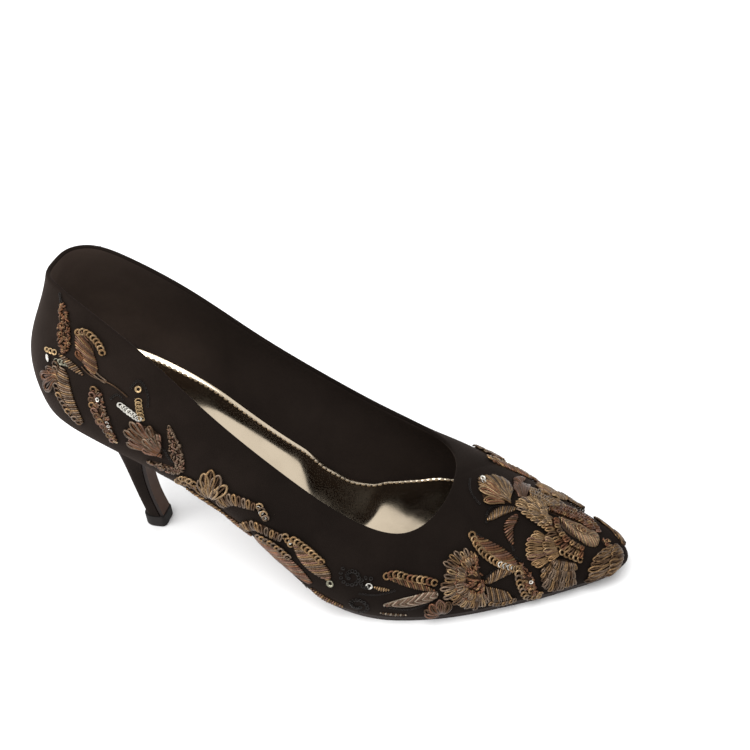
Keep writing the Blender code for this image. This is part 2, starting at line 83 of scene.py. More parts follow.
# Bottom of the last along the shoe: x, z.
BOTTOM = (
    (-4, 83.6), (12, 78.6), (30, 72), (55, 60), (80, 43.4), (104, 24.1), (120, 11.4), (133, 6.3),
    (145, 4.3), (160, 3.7), (178, 3.7), (194, 4), (210, 4.2), (226, 5.2), (242, 7),
)


def spline(k, y, flat_start=False, flat_end=False):
    """Cubic spline through y at k; its ends are natural, or level where flat."""
    k = np.asarray(k, float)
    y = np.asarray(y, float)
    n = len(k)
    h = np.diff(k)
    a = np.zeros((n, n))
    b = np.zeros(n)
    for i in range(1, n - 1):
        a[i, i - 1] = h[i - 1]
        a[i, i] = 2.0 * (h[i - 1] + h[i])
        a[i, i + 1] = h[i]
        b[i] = 6.0 * ((y[i + 1] - y[i]) / h[i] - (y[i] - y[i - 1]) / h[i - 1])
    a[0, 0] = 1.0
    a[-1, -1] = 1.0
    if flat_start:
        a[0, 0] = 2.0 * h[0]
        a[0, 1] = h[0]
        b[0] = 6.0 * (y[1] - y[0]) / h[0]
    if flat_end:
        a[-1, -1] = 2.0 * h[-1]
        a[-1, -2] = h[-1]
        b[-1] = -6.0 * (y[-1] - y[-2]) / h[-1]
    m = np.linalg.solve(a, b)

    def value(t, order=0):
        t = np.asarray(t, float)
        i = np.clip(np.searchsorted(k, t, side="right") - 1, 0, n - 2)
        w = h[i]
        p = (k[i + 1] - t) / w
        q = (t - k[i]) / w
        if order == 1:
            return ((y[i + 1] - y[i]) / w
                    + w / 6.0 * (m[i + 1] * (3.0 * q * q - 1.0) - m[i] * (3.0 * p * p - 1.0)))
        return (p * y[i] + q * y[i + 1]
                + w * w / 6.0 * ((p ** 3 - p) * m[i] + (q ** 3 - q) * m[i + 1]))

    return value


TABLE = np.array(LAST, float) * MM
COL = {name: TABLE[:, i] for i, name in enumerate(LAST_COLUMNS)}
bottom_z = spline(np.array(BOTTOM)[:, 0] * MM, np.array(BOTTOM)[:, 1] * MM)


def section_knots():
    """Section positions 0..1 by mean distance along the feather and top lines."""
    foot = np.stack([COL["foot_x"], (COL["foot_lat"] + COL["foot_med"]) / 2.0,
                     bottom_z(COL["foot_x"])], axis=1)
    top = np.stack([COL["top_x"], (COL["top_lat"] + COL["top_med"]) / 2.0, COL["top_z"]], axis=1)
    step = (np.linalg.norm(np.diff(foot, axis=0), axis=1)
            + np.linalg.norm(np.diff(top, axis=0), axis=1))
    k = np.concatenate([[0.0], np.cumsum(step)])
    return k / k[-1]


KNOT = section_knots()
K_THROAT = KNOT[THROAT]
COLLAR = slice(0, THROAT + 1)
RIDGE = slice(THROAT, None)

foot_x = spline(KNOT, COL["foot_x"], True, True)
foot_half = {-1: spline(KNOT, COL["foot_lat"]), 1: spline(KNOT, COL["foot_med"])}
collar_x = spline(KNOT[COLLAR], COL["top_x"][COLLAR], True, True)
collar_z = spline(KNOT[COLLAR], COL["top_z"][COLLAR], True, True)
collar_half = {-1: spline(KNOT[COLLAR], COL["top_lat"][COLLAR]),
               1: spline(KNOT[COLLAR], COL["top_med"][COLLAR])}
ridge_x = spline(KNOT[RIDGE], COL["top_x"][RIDGE])
ridge_z = spline(KNOT[RIDGE], COL["top_z"][RIDGE])


def top_down_handle():
    """The vamp sections leave the ridge level with it, so the crown is smooth."""
    down = COL["td"].copy()
    slope = ridge_z(KNOT[RIDGE], 1) / ridge_x(KNOT[RIDGE], 1)
    down[RIDGE] = -slope * COL["tf"][RIDGE]
    return down


handle = {
    "ff": spline(KNOT, COL["ff"], True, True),
    "fo": spline(KNOT, COL["fo"]),
    "fu": spline(KNOT, COL["fu"], True, True),
    "tf": spline(KNOT, COL["tf"], True, True),
    "to": spline(KNOT, COL["to"]),
    "td": spline(KNOT, top_down_handle(), True, True),
}


def foot_line(s, side):
    """The feather line on one side."""
    x = foot_x(s)
    return np.stack([x, side * foot_half[side](s), bottom_z(x)], axis=-1)


def eased(d, reach):
    """Distance from a corner of the top line, slowed to rest at the corner itself."""
    return np.where(d < reach, (2.0 * d ** 2 - d ** 3 / reach) / reach, d)


def top_line(s, side):
    """Collar, then ridge. It rests at the throat and at the toe, so no crease starts there."""
    s = np.asarray(s, float)
    u = K_THROAT + np.sign(s - K_THROAT) * eased(np.abs(s - K_THROAT), THROAT_EASE)
    u = 1.0 - eased(1.0 - u, TOE_EASE)
    on_collar = s <= K_THROAT
    x = np.where(on_collar, collar_x(u), ridge_x(u))
    y = np.where(on_collar, side * collar_half[side](u), 0.0)
    z = np.where(on_collar, collar_z(u), ridge_z(u))
    return np.stack([x, y, z], axis=-1)


def last_point(s, v, side):
    """Outside of the upper at section s (0 heel seam, 1 toe) and height v (0 feather, 1 top)."""
    s = np.asarray(s, float)
    v = np.asarray(v, float)[..., None]
    foot = foot_line(s, side)
    top = top_line(s, side)
    low = foot + np.stack([handle["ff"](s), side * handle["fo"](s), handle["fu"](s)], axis=-1)
    high = top + np.stack([handle["tf"](s), side * handle["to"](s), -handle["td"](s)], axis=-1)
    w = 1.0 - v
    return w ** 3 * foot + 3.0 * w * w * v * low + 3.0 * w * v * v * high + v ** 3 * top


PLACING_GRID = (401, 81)      # points along and up the last that find its place
TANGENT_STEP = 1.0e-4         # share of the length that gives an outline's direction


def place_of_last():
    """The move from the last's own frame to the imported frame, so that both uppers agree."""
    s, v = np.meshgrid(*(np.linspace(0.0, 1.0, count) for count in PLACING_GRID), indexing="ij")
    cloud = np.concatenate([last_point(s, v, side).reshape(-1, 3) for side in (-1, 1)])
    low, high = (np.array(corner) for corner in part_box("upper"))
    move = ((low + high) - (cloud.min(axis=0) + cloud.max(axis=0))) / 2.0
    move[2] = low[2] - cloud[:, 2].min()
    return move


MOVE = place_of_last()


def shoe_point(s, v, side):
    """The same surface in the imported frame."""
    return last_point(s, v, side) + MOVE


def unit(vectors):
    """The same directions, all of length one."""
    return vectors / np.maximum(np.linalg.norm(vectors, axis=-1, keepdims=True), 1e-12)


def inset_outline(s, side, inset):
    """Feather line moved inward in plan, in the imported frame."""
    s = np.asarray(s, float)
    a = foot_line(np.clip(s - TANGENT_STEP, 0.0, 1.0), side)
    b = foot_line(np.clip(s + TANGENT_STEP, 0.0, 1.0), side)
    along = unit((b - a)[..., :2])
    inward = np.stack([along[..., 1], -along[..., 0]], axis=-1) * side
    point = foot_line(s, side)
    x = point[..., 0] + inward[..., 0] * inset
    y = point[..., 1] + inward[..., 1] * inset
    return np.stack([x, y, bottom_z(x)], axis=-1) + MOVE


def seat_z(x):
    """Height of the last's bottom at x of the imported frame."""
    return bottom_z(np.asarray(x) - MOVE[0]) + MOVE[2]


# ------------------------------------------------------------ making of pieces
def make_piece(name, verts, faces, materials, slots=None, slot_name="upper"):
    """A smooth mesh object that rides on the shoe's one body."""
    mesh = bpy.data.meshes.new(name)
    mesh.from_pydata(np.asarray(verts, float).tolist(), [],
                     faces.tolist() if isinstance(faces, np.ndarray) else faces)
    for mat in materials:
        mesh.materials.append(mat)
    if slots is not None:
        mesh.polygons.foreach_set("material_index", np.asarray(slots, np.int32))
    mesh.polygons.foreach_set("use_smooth", np.full(len(mesh.polygons), True))
    mesh.update()
    piece = bpy.data.objects.new(name, mesh)
    bpy.context.scene.collection.objects.link(piece)
    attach(piece, "root")
    return piece


def sharp_edges(piece, degrees):
    """Edges that turn more than this stay crisp under smooth shading."""
    piece.data.set_sharp_from_angle(angle=math.radians(degrees))


def quad_normals(verts, quads):
    """Vertex normals of a quad mesh, weighted by area."""
    a, b, c, d = (verts[quads[:, k]] for k in range(4))
    n = np.cross(c - a, d - b)
    out = np.zeros_like(verts)
    for k in range(4):
        np.add.at(out, quads[:, k], n)
    return unit(out)


def spread(count, pull):
    """Positions 0..1, closer together at both ends."""
    i = np.linspace(0.0, 1.0, count)
    return i - pull * np.sin(2.0 * np.pi * i) / np.pi


def ring_faces(rings, sides):
    """Quads between rings of points, and a face on each end."""
    index = np.arange(rings * sides).reshape(rings, sides)
    near, far = index[:-1], index[1:]
    quads = np.stack([near, far, np.roll(far, -1, axis=1), np.roll(near, -1, axis=1)],
                     axis=-1).reshape(-1, 4)
    return [*quads, index[0], index[-1, ::-1]]


# -------------------------------------------------------------------- the upper
COLUMNS = 190                 # heel seam to toe, each side
COLUMN_PULL = 0.075           # how much closer they stand at the heel seam and the toe
ROWS_UP = 56                  # feather line to the fold of the collar
FOLD_STEPS = 6                # round fold of the collar edge
BELOW_TOP = 0.01              # share of the height over which the top's slope is taken


def upper_columns():
    """Column positions with one exactly at the throat."""
    i = np.linspace(0.0, 1.0, COLUMNS + 1)
    s = spread(COLUMNS + 1, COLUMN_PULL)
    throat = int(np.argmin(np.abs(s - K_THROAT)))
    s += (K_THROAT - s[throat]) * np.sin(np.pi * i) ** 2 / np.sin(np.pi * i[throat]) ** 2
    s[throat] = K_THROAT
    return s, throat


def upper_sheet():
    """The outside of the upper: shared vertices on the centre plane, quads facing out."""
    s, throat = upper_columns()
    radius = WALL / 2.0
    tops, below = np.ones_like(s), np.full_like(s, 1.0 - BELOW_TOP)
    top_step = {side: np.linalg.norm(last_point(s, tops, side) - last_point(s, below, side),
                                     axis=1) / BELOW_TOP for side in (-1, 1)}
    index = np.full((2, COLUMNS + 1, ROWS_UP + 1), -1)
    verts = []
    for k, side in enumerate((-1, 1)):
        v_top = np.where(np.arange(COLUMNS + 1) <= throat, 1.0 - radius / top_step[side], 1.0)
        v = np.linspace(0.0, 1.0, ROWS_UP + 1)[None, :] * v_top[:, None]
        grid = shoe_point(s[:, None] + 0.0 * v, v, side)
        for i in range(COLUMNS + 1):
            for j in range(ROWS_UP + 1):
                centre = i in (0, COLUMNS) or (j == ROWS_UP and i >= throat)
                if centre and k == 1:
                    index[1, i, j] = index[0, i, j]
                    continue
                index[k, i, j] = len(verts)
                point = grid[i, j]
                if centre:
                    point[1] = MOVE[1]
                verts.append(point)
    quads = []
    for k in (0, 1):
        a, b = index[k, :-1, :-1], index[k, 1:, :-1]
        c, d = index[k, 1:, 1:], index[k, :-1, 1:]
        order = (a, b, c, d) if k == 0 else (d, c, b, a)
        quads.append(np.stack(order, axis=-1).reshape(-1, 4))
    return np.array(verts), np.concatenate(quads), index, throat


UPPER_SHEET = upper_sheet()


def upper_shell():
    """Outside, round fold of the collar, lining and lasting margin as one closed shell."""
    outer, quads, index, throat = UPPER_SHEET
    normal = quad_normals(outer, quads)
    inner = outer - normal * WALL
    centre = np.zeros(len(outer), bool)
    centre[index[:, (0, COLUMNS), :].ravel()] = True
    centre[index[:, throat:, ROWS_UP].ravel()] = True
    inner[centre, 1] = MOVE[1]
    feather = index[:, :, 0].ravel()
    inner[feather] = outer[feather] - unit(normal[feather] * (1.0, 1.0, 0.0)) * WALL
    inner[feather, 2] = seat_z(inner[feather, 0])
    count = len(outer)
    # the collar loop, lateral side forward and medial side back
    collar = np.concatenate([index[0, :throat + 1, ROWS_UP], index[1, throat - 1:0:-1, ROWS_UP]])
    below = np.concatenate([index[0, :throat + 1, ROWS_UP - 1],
                            index[1, throat - 1:0:-1, ROWS_UP - 1]])
    up = outer[collar] - outer[below]
    up = unit(up - normal[collar] * (up * normal[collar]).sum(axis=1, keepdims=True))
    radius = WALL / 2.0
    hub = outer[collar] - normal[collar] * radius
    rings = [collar]
    fold = []
    for step in range(1, FOLD_STEPS):
        turn = math.pi * step / FOLD_STEPS
        fold.append(hub + radius * (math.cos(turn) * normal[collar] + math.sin(turn) * up))
        rings.append(2 * count + len(collar) * (step - 1) + np.arange(len(collar)))
    rings.append(collar + count)
    folded = [np.stack([near, np.roll(near, -1), np.roll(far, -1), far], axis=1)
              for near, far in zip(rings, rings[1:])]
    foot = np.concatenate([index[0, :, 0], index[1, COLUMNS - 1:0:-1, 0]])
    margin = np.stack([np.roll(foot, -1), foot, foot + count, np.roll(foot, -1) + count], axis=1)
    verts = np.concatenate([outer, inner] + fold)
    groups = (quads, np.concatenate(folded), quads[:, ::-1] + count, margin)
    slots = np.repeat((0, 0, 1, 1), [len(g) for g in groups])
    return verts, np.concatenate(groups), slots


# ------------------------------------------------------------ insole and outsole
INSOLE_THICKNESS = 1.6 * MM
INSOLE_INSET = WALL + 0.5 * MM
# Thickness of the outsole from the heel breast to the toe tip: x, thickness.
SOLE_THICKNESS = ((56, 2.2), (120, 2.8), (150, 3.6), (196, 3.6), (238, 2.8))
SOLE_WAIST = SOLE_THICKNESS[0][1] * MM
SOLE_EDGE_INSET = 0.8 * MM    # outsole edge inside the feather line
SOLE_EDGE_BEVEL = 0.9 * MM    # its lower edge, further inside
BREAST_X = SOLE_THICKNESS[0][0] * MM + MOVE[0]
BREAST_CORNER = 3.0 * MM      # where the outsole turns down the breast
BREAST_FLAP = 1.3 * MM        # outsole leather on the breast
FLAP_INSET = 0.5 * MM         # its edges inside the sides of the heel
FLAP_TOP = 1.5 * MM           # from the end of the corner down to the straight flap
FLAP_BEVEL = 0.08             # most of its half width that its bevel takes
BEND_REACH = 1.2 * MM         # how far the hollow of the turn reaches past the flap
BEND_NARROWING = 1.6          # power by which the sole narrows through the turn
HEEL_INSET = 0.5 * MM         # heel top inside the feather line
ACROSS = 24                   # cells across the sole
SOLE_ROWS, SOLE_ROW_PULL = 120, 0.08
BEND_ROWS, FLAP_ROWS = 9, 40


def plate(upper_rows, lower_rows):
    """Closed plate from matching rows of points: verts, faces, and which faces are its edge."""
    rows = len(upper_rows)
    wide = len(upper_rows[0])
    verts = np.concatenate([np.concatenate(upper_rows), np.concatenate(lower_rows)])
    top = np.arange(rows * wide).reshape(rows, wide)
    low = top + rows * wide
    faces = [np.stack([top[:-1, :-1], top[1:, :-1], top[1:, 1:], top[:-1, 1:]], -1).reshape(-1, 4),
             np.stack([low[:-1, 1:], low[1:, 1:], low[1:, :-1], low[:-1, :-1]], -1).reshape(-1, 4)]
    skins = 2 * len(faces[0])
    for pick, way in ((0, 1), (-1, -1)):
        side = (top[:-1, pick], low[:-1, pick], low[1:, pick], top[1:, pick])
        end = (top[pick, :-1], top[pick, 1:], low[pick, 1:], low[pick, :-1])
        faces += [np.stack(strip[::way], axis=-1) for strip in (side, end)]
    faces = np.concatenate(faces)
    return verts, faces, (np.arange(len(faces)) >= skins).astype(int)


def cross_row(s, inset, rise, across=ACROSS):
    """Points across the shoe between the inset outlines; rise is taken from the feather line."""
    left = inset_outline(s, -1, inset)
    right = inset_outline(s, 1, inset)
    if s in (0.0, 1.0):
        left[1] = right[1] = MOVE[1]
    t = np.linspace(0.0, 1.0, across + 1)[:, None]
    row = left * (1.0 - t) + right * t
    row[:, 2] = seat_z(row[:, 0]) + rise
    return row


# The sock along the shoe: section, side slope of its cup in degrees, rise of its edge beyond the
# cup, width and rise of its lip.
SOCK_SHAPE = (
    (0.0, 1.5, 0.0, 2.2, 1.3), (0.18, 2.5, 0.0, 2.3, 1.3), (0.3, 12, 0.0, 1.9, 0.85),
    (0.44, 13, 0.0, 1.7, 0.6), (0.49, 0, 0.0, 1.5, 0.3), (0.53, -4, 0.0, 1.3, 0.15),
    (0.56, -4.5, 0.6, 1.2, 0.1), (0.59, 6.5, -1.0, 1.2, 0.1), (0.63, 3.6, 0.2, 1.2, 0.28),
    (0.66, 2.0, 1.4, 1.3, 0.36), (0.7, 1.5, 1.0, 1.3, 0.3), (1.0, 0, 0.0, 1.5, 0.3),
)
CUP = (0.0, 0.2, 0.45, 0.85)  # shares of the half width where its side slope starts and ends
CUP_EDGE = (0.55, 1.0)        # where its edge rises or falls
EDGE_ROUND = 0.5 * MM         # how far the lip rolls down at its outer edge
LIP_ROUND = 1.15              # power of the lip's rise to its edge
GROOVE_DEPTH = 0.3 * MM       # the stitch line, just inside the lip
GROOVE_WIDTH = 0.45 * MM
GROOVE_INSET = 0.2 * MM       # from the lip in to the middle of the groove
CUP_STEPS = 200               # steps over which the side slope is added up
SOCK_ROWS, SOCK_ROW_PULL = 170, 0.06
SOCK_COLUMNS, SOCK_CROWDING = 61, 0.94    # points across, which crowd towards both edges


def ease(x, low, high):
    """0 below the low end, 1 above the high end, with a smooth step between."""
    u = np.clip((x - low) / (high - low), 0.0, 1.0)
    return u * u * (3.0 - 2.0 * u)


def sock_row(s):
    """Cup slope, edge rise, lip width and lip rise at one section, eased from row to row."""
    rows = np.array(SOCK_SHAPE)
    i = int(np.clip(np.searchsorted(rows[:, 0], s, side="right") - 1, 0, len(rows) - 2))
    share = ease(s, rows[i, 0], rows[i + 1, 0])
    row = rows[i] * (1.0 - share) + rows[i + 1] * share
    return math.tan(math.radians(row[1])), row[2] * MM, row[3] * MM, row[4] * MM


def sock_profile(s, t, width):
    """Height across the sock above its flat board: cupped sides, a groove and a turned-up lip."""
    slope, edge_rise, lip_width, lip_rise = sock_row(s)
    edge = (1.0 - np.abs(t)) * width / 2.0
    fine = np.linspace(0.0, 1.0, CUP_STEPS + 1)
    side = ease(fine, CUP[0], CUP[1]) * (1.0 - ease(fine, CUP[2], CUP[3]))
    cup = np.interp(np.abs(t), fine, np.cumsum(side) / CUP_STEPS) * slope * width / 2.0
    cup += edge_rise * ease(np.abs(t), *CUP_EDGE)
    lip = lip_rise * np.clip(1.0 - edge / lip_width, 0.0, 1.0) ** LIP_ROUND
    groove = GROOVE_DEPTH * np.exp(-((edge - lip_width - GROOVE_INSET) / GROOVE_WIDTH) ** 2)
    outer = EDGE_ROUND * np.clip(1.0 - edge / EDGE_ROUND, 0.0, 1.0) ** 2
    return cup + lip - groove - outer


def sock_rows(s, t):
    """Points of the board and of the sock's top at section s, for shares t of the half width."""
    ends = cross_row(s, INSOLE_INSET, 0.0, 1)
    low = ends[0] * (1.0 - t[:, None]) / 2.0 + ends[1] * (1.0 + t[:, None]) / 2.0
    low[:, 2] = seat_z(low[:, 0])
    top = low.copy()
    top[:, 2] += INSOLE_THICKNESS + sock_profile(s, t, np.linalg.norm(ends[1] - ends[0]))
    return low, top


def insole_sheet():
    """The sock: a thin board whose top is cupped, with a stitched lip along the wall."""
    across = (np.sin(np.linspace(-0.5, 0.5, SOCK_COLUMNS) * np.pi * SOCK_CROWDING)
              / np.sin(SOCK_CROWDING / 2.0 * np.pi))
    lows, tops = zip(*(sock_rows(s, across) for s in spread(SOCK_ROWS, SOCK_ROW_PULL)))
    return plate(tops, lows)


SEARCH_POINTS = 4001          # sections among which one is looked up


def section_at(x):
    """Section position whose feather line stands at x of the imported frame."""
    s = np.linspace(0.0, 1.0, SEARCH_POINTS)
    return float(np.interp(x - MOVE[0], foot_x(s), s))


# Heel levels, ground to seat: back x and z, front x and z, outer and inner half width.
HEEL = (
    (31, 5.9, 39, 5.9, 4.5, 4.5),
    (29.4, 14, 37.3, 14, 4.4, 4.4),
    (27.8, 24, 36.4, 24, 4.5, 4.5),
    (26.2, 34, 36.8, 33, 4.9, 4.9),
    (24.2, 43, 38.8, 40, 6.2, 6.1),
    (21.6, 51.4, 42.4, 46, 9.1, 8.7),
    (17.6, 59, 46.8, 50.8, 13.4, 12.8),
    (12.2, 66.4, 50.8, 54.6, 18.6, 17.6),
    (6.8, 73.6, 53.8, 57.2, 24, 22.4),
    (3.2, 79.2, 55.2, 58.8, 27.8, 25.2),
)
LIFT_HEIGHT = 5.6 * MM        # rubber top piece, ground to seam
LIFT = (30.5, 41.1, 5.0)      # its back x, front x and half width
LIFT_BACK_REACH = 5.6         # back of the top piece to its widest point
LIFT_BACK_ROUND = 0.9         # power of the outline: 1 is an ellipse, less is squarer
LIFT_FRONT_ROUND = 0.36
LIFT_EDGE = 0.35 * MM         # rounding of its worn lower edge
LIFT_LEVELS = (0.0, 0.12, 0.3, 0.55, 1.0, 2.2, 3.4, 4.6, 5.2, 5.45, 5.6)
LIFT_SIDES = 96
HEEL_ROWS = 90
HEEL_AT = np.array(HEEL, float) * MM + np.array([MOVE[0], MOVE[2], MOVE[0], MOVE[2], 0.0, 0.0])


def breast_line(column, seat_value):
    """Spline up the front of the heel for one column, ending at the seat."""
    zs = np.append(HEEL_AT[:, 3], seat_z(BREAST_X) - GAP)
    return spline(zs, np.append(HEEL_AT[:, column], seat_value))


breast_x = breast_line(2, BREAST_X)
BREAST_HALF = {side: float(foot_half[side](section_at(BREAST_X))) - HEEL_INSET
               for side in (-1, 1)}
breast_half = {-1: breast_line(4, BREAST_HALF[-1]), 1: breast_line(5, BREAST_HALF[1])}


def outsole_thickness(x):
    """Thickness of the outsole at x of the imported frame."""
    at, thickness = np.array(SOLE_THICKNESS, float).T
    return float(np.interp((x - MOVE[0]) / MM, at, thickness * MM))


def flap_rows(z):
    """Centre-plane points of the breast flap at height z: against the heel, and its face."""
    x = float(breast_x(z)) + GAP
    slope = float(breast_x(z, 1))
    normal = np.array([1.0, -slope]) / np.hypot(1.0, slope)
    near = np.array([x, z])
    return near, near + normal * BREAST_FLAP


def level_row(point, lat, med):
    """Straight row across the shoe at a centre-plane point."""
    t = np.linspace(-1.0, 1.0, ACROSS + 1)
    y = np.where(t < 0.0, t * lat, t * med) + MOVE[1]
    return np.stack([np.full_like(y, point[0]), y, np.full_like(y, point[1])], axis=1)


def outsole_plate():
    """Thin leather sole, toe to heel breast, turning down the breast as a flap."""
    tops, lows = [], []
    turn_x = BREAST_X + GAP + BREAST_CORNER
    s_turn = section_at(turn_x)
    for s in 1.0 - (1.0 - s_turn) * spread(SOLE_ROWS, SOLE_ROW_PULL):
        s = min(float(s), 1.0)
        thick = outsole_thickness(float(foot_x(s)) + MOVE[0])
        lower = cross_row(s, SOLE_EDGE_INSET + SOLE_EDGE_BEVEL, -GAP - thick)
        lower[:, 2] = np.maximum(lower[:, 2], 0.0)
        tops.append(cross_row(s, SOLE_EDGE_INSET, -GAP))
        lows.append(lower)
    corner = np.array([BREAST_X + GAP, float(seat_z(BREAST_X + GAP)) - GAP])
    start = np.array([turn_x, float(seat_z(turn_x)) - GAP])
    start_face = start - np.array([0.0, SOLE_WAIST])
    flap_top = corner[1] - BREAST_CORNER - FLAP_TOP
    end_face = flap_rows(flap_top)[1]
    slope = (corner[1] - start[1]) / (corner[0] - start[0])
    bend_x = end_face[0] + BEND_REACH
    bend = np.array([bend_x, start_face[1] + slope * (bend_x - start_face[0])])
    for f in np.linspace(0.0, 1.0, BEND_ROWS)[1:-1]:
        if f < 0.5:
            near = start + (corner - start) * f * 2.0
        else:
            near = flap_rows(corner[1] + (flap_top - corner[1]) * (f - 0.5) * 2.0)[0]
        face = (1.0 - f) ** 2 * start_face + 2.0 * f * (1.0 - f) * bend + f * f * end_face
        half = []
        for side in (-1, 1):
            wide = abs(float(inset_outline(s_turn, side, SOLE_EDGE_INSET)[1] - MOVE[1]))
            narrow = float(breast_half[side](flap_top)) - FLAP_INSET
            half.append(wide + (narrow - wide) * f ** BEND_NARROWING)
        tops.append(level_row(near, *half))
        lows.append(level_row(face, *(h - SOLE_EDGE_BEVEL for h in half)))
    bottom = LIFT_HEIGHT + GAP
    for f in np.linspace(0.0, 1.0, FLAP_ROWS):
        z = flap_top + (bottom - flap_top) * f
        near, face = flap_rows(z)
        if f == 1.0:
            face[1] = z
        half = [float(breast_half[side](z)) - FLAP_INSET for side in (-1, 1)]
        edge = min(SOLE_EDGE_BEVEL, FLAP_BEVEL * half[0])
        tops.append(level_row(near, *half))
        lows.append(level_row(face, *(h - edge for h in half)))
    return plate(tops, lows)


# -------------------------------------------------------------------- the heel
RING_BACK = 40                # ring cells from each breast corner round to the back
RING_FRONT = 12               # cells across the breast


def seat_ring():
    """Seat outline, breast corner round the back to the other corner, then across the breast."""
    s = section_at(BREAST_X) * np.linspace(1.0, 0.0, RING_BACK + 1)
    lateral = inset_outline(s, -1, HEEL_INSET)
    medial = inset_outline(s[::-1][1:], 1, HEEL_INSET)
    lateral[-1, 1] = MOVE[1]
    ring = np.concatenate([lateral, medial])
    t = np.linspace(0.0, 1.0, RING_FRONT + 1)[1:-1, None]
    ring = np.concatenate([ring, ring[-1] * (1.0 - t) + ring[0] * t])
    ring[:, 2] = seat_z(ring[:, 0]) - GAP
    return ring


def ring_shares(ring):
    """Unit coordinates of the ring: 0..1 back to breast, and -1..1 across."""
    u = (ring[:, 0] - ring[:, 0].min()) / np.ptp(ring[:, 0])
    y = ring[:, 1] - MOVE[1]
    return u, np.where(y < 0.0, y / -y.min(), y / y.max())


def stack_of_rings(rings):
    """Closed solid from rings of equal length, each end closed by a fan of its own centre."""
    n = len(rings[0])
    verts = np.concatenate([np.concatenate(rings), [rings[0].mean(axis=0)],
                            [rings[-1].mean(axis=0)]])
    faces = []
    for r in range(len(rings) - 1):
        for j in range(n):
            a, b = r * n + j, r * n + (j + 1) % n
            faces.append((a, b, b + n, a + n))
    last = (len(rings) - 1) * n
    for j in range(n):
        k = (j + 1) % n
        faces.append((len(verts) - 2, k, j))
        faces.append((len(verts) - 1, last + j, last + k))
    return verts, faces


def heel_rings():
    """The covered heel: the seat's outline drawn down and in, from level to level, to the lift."""
    ring = seat_ring()
    u, w = ring_shares(ring)
    k = np.arange(len(HEEL_AT) + 1) / len(HEEL_AT)
    y = ring[:, 1] - MOVE[1]
    seat = (ring[:, 0].min(), float(seat_z(ring[:, 0].min())) - GAP, ring[:, 0].max(),
            float(seat_z(ring[:, 0].max())) - GAP, -y.min(), y.max())
    curves = [spline(k, np.append(HEEL_AT[:, c], seat[c])) for c in range(6)]
    rings = []
    for f in np.linspace(0.0, 1.0, HEEL_ROWS)[:-1]:
        bx, bz, fx, fz, half_lat, half_med = (float(c(f)) for c in curves)
        sag = seat_z(ring[:, 0]) - GAP - (seat[1] + (seat[3] - seat[1]) * u)
        rings.append(np.stack([bx + (fx - bx) * u,
                               np.where(w < 0.0, half_lat, half_med) * w + MOVE[1],
                               bz + (fz - bz) * u + sag * f ** 3], axis=1))
    rings.append(ring)
    return stack_of_rings(rings)


def lift_rings():
    """Rubber top piece: a D with softened corners, a worn lower edge and a fine upper seam."""
    turn = -np.linspace(0.0, 2.0 * math.pi, LIFT_SIDES + 1)[:-1]
    cos, sin = np.cos(turn), np.sin(turn)
    power = np.where(cos > 0.0, LIFT_FRONT_ROUND, LIFT_BACK_ROUND)
    back, front, half_width = (value * MM for value in LIFT)
    middle = back + LIFT_BACK_REACH * MM
    rings = []
    for level in LIFT_LEVELS:
        z = level * MM
        shrink = (LIFT_EDGE * max(0.0, 1.0 - z / (2.0 * LIFT_EDGE)) ** 2
                  + LIFT_EDGE * 0.5 * max(0.0, 1.0 - (LIFT_HEIGHT - z) / LIFT_EDGE) ** 2)
        reach = np.where(cos > 0.0, front - middle, middle - back) - shrink
        x = middle + reach * np.sign(cos) * np.abs(cos) ** power + MOVE[0]
        y = (half_width - shrink) * np.sign(sin) * np.abs(sin) ** power + MOVE[1]
        rings.append(np.stack([x, y, np.full_like(x, z)], axis=1))
    return stack_of_rings(rings)


# ------------------------------------------------------------------- materials
def socket_value(value):
    """A colour gets its alpha, and a number stays as it is."""
    return (*value, 1.0) if isinstance(value, tuple) else value


class Finish:
    """A material: values on its Principled shader's own sockets, and one effect group over it."""

    def __init__(self, name, **values):
        self.material = bpy.data.materials.new(name)
        self.material.use_nodes = True
        self.tree = self.material.node_tree
        self.shader = self.tree.nodes["Principled BSDF"].inputs
        for key, value in values.items():
            socket = key.replace("_", " ").title().replace("Ior", "IOR")
            self.shader[socket].default_value = socket_value(value)

    def cover(self, effect, bump_strength, bump_distance, **values):
        """Place an effect group with its own values: colour, roughness where it has one, bump."""
        node = self.tree.nodes.new("ShaderNodeGroup")
        node.node_tree = effect
        for key, value in values.items():
            node.inputs[key.replace("_", " ")].default_value = socket_value(value)
        for output, socket in (("Color", "Base Color"), ("Roughness", "Roughness")):
            if output in node.outputs:
                self.tree.links.new(node.outputs[output], self.shader[socket])
        bump = self.tree.nodes.new("ShaderNodeBump")
        bump.inputs["Strength"].default_value = bump_strength
        bump.inputs["Distance"].default_value = bump_distance
        self.tree.links.new(node.outputs["Height"], bump.inputs["Height"])
        self.tree.links.new(bump.outputs["Normal"], self.shader["Normal"])
        return self.material


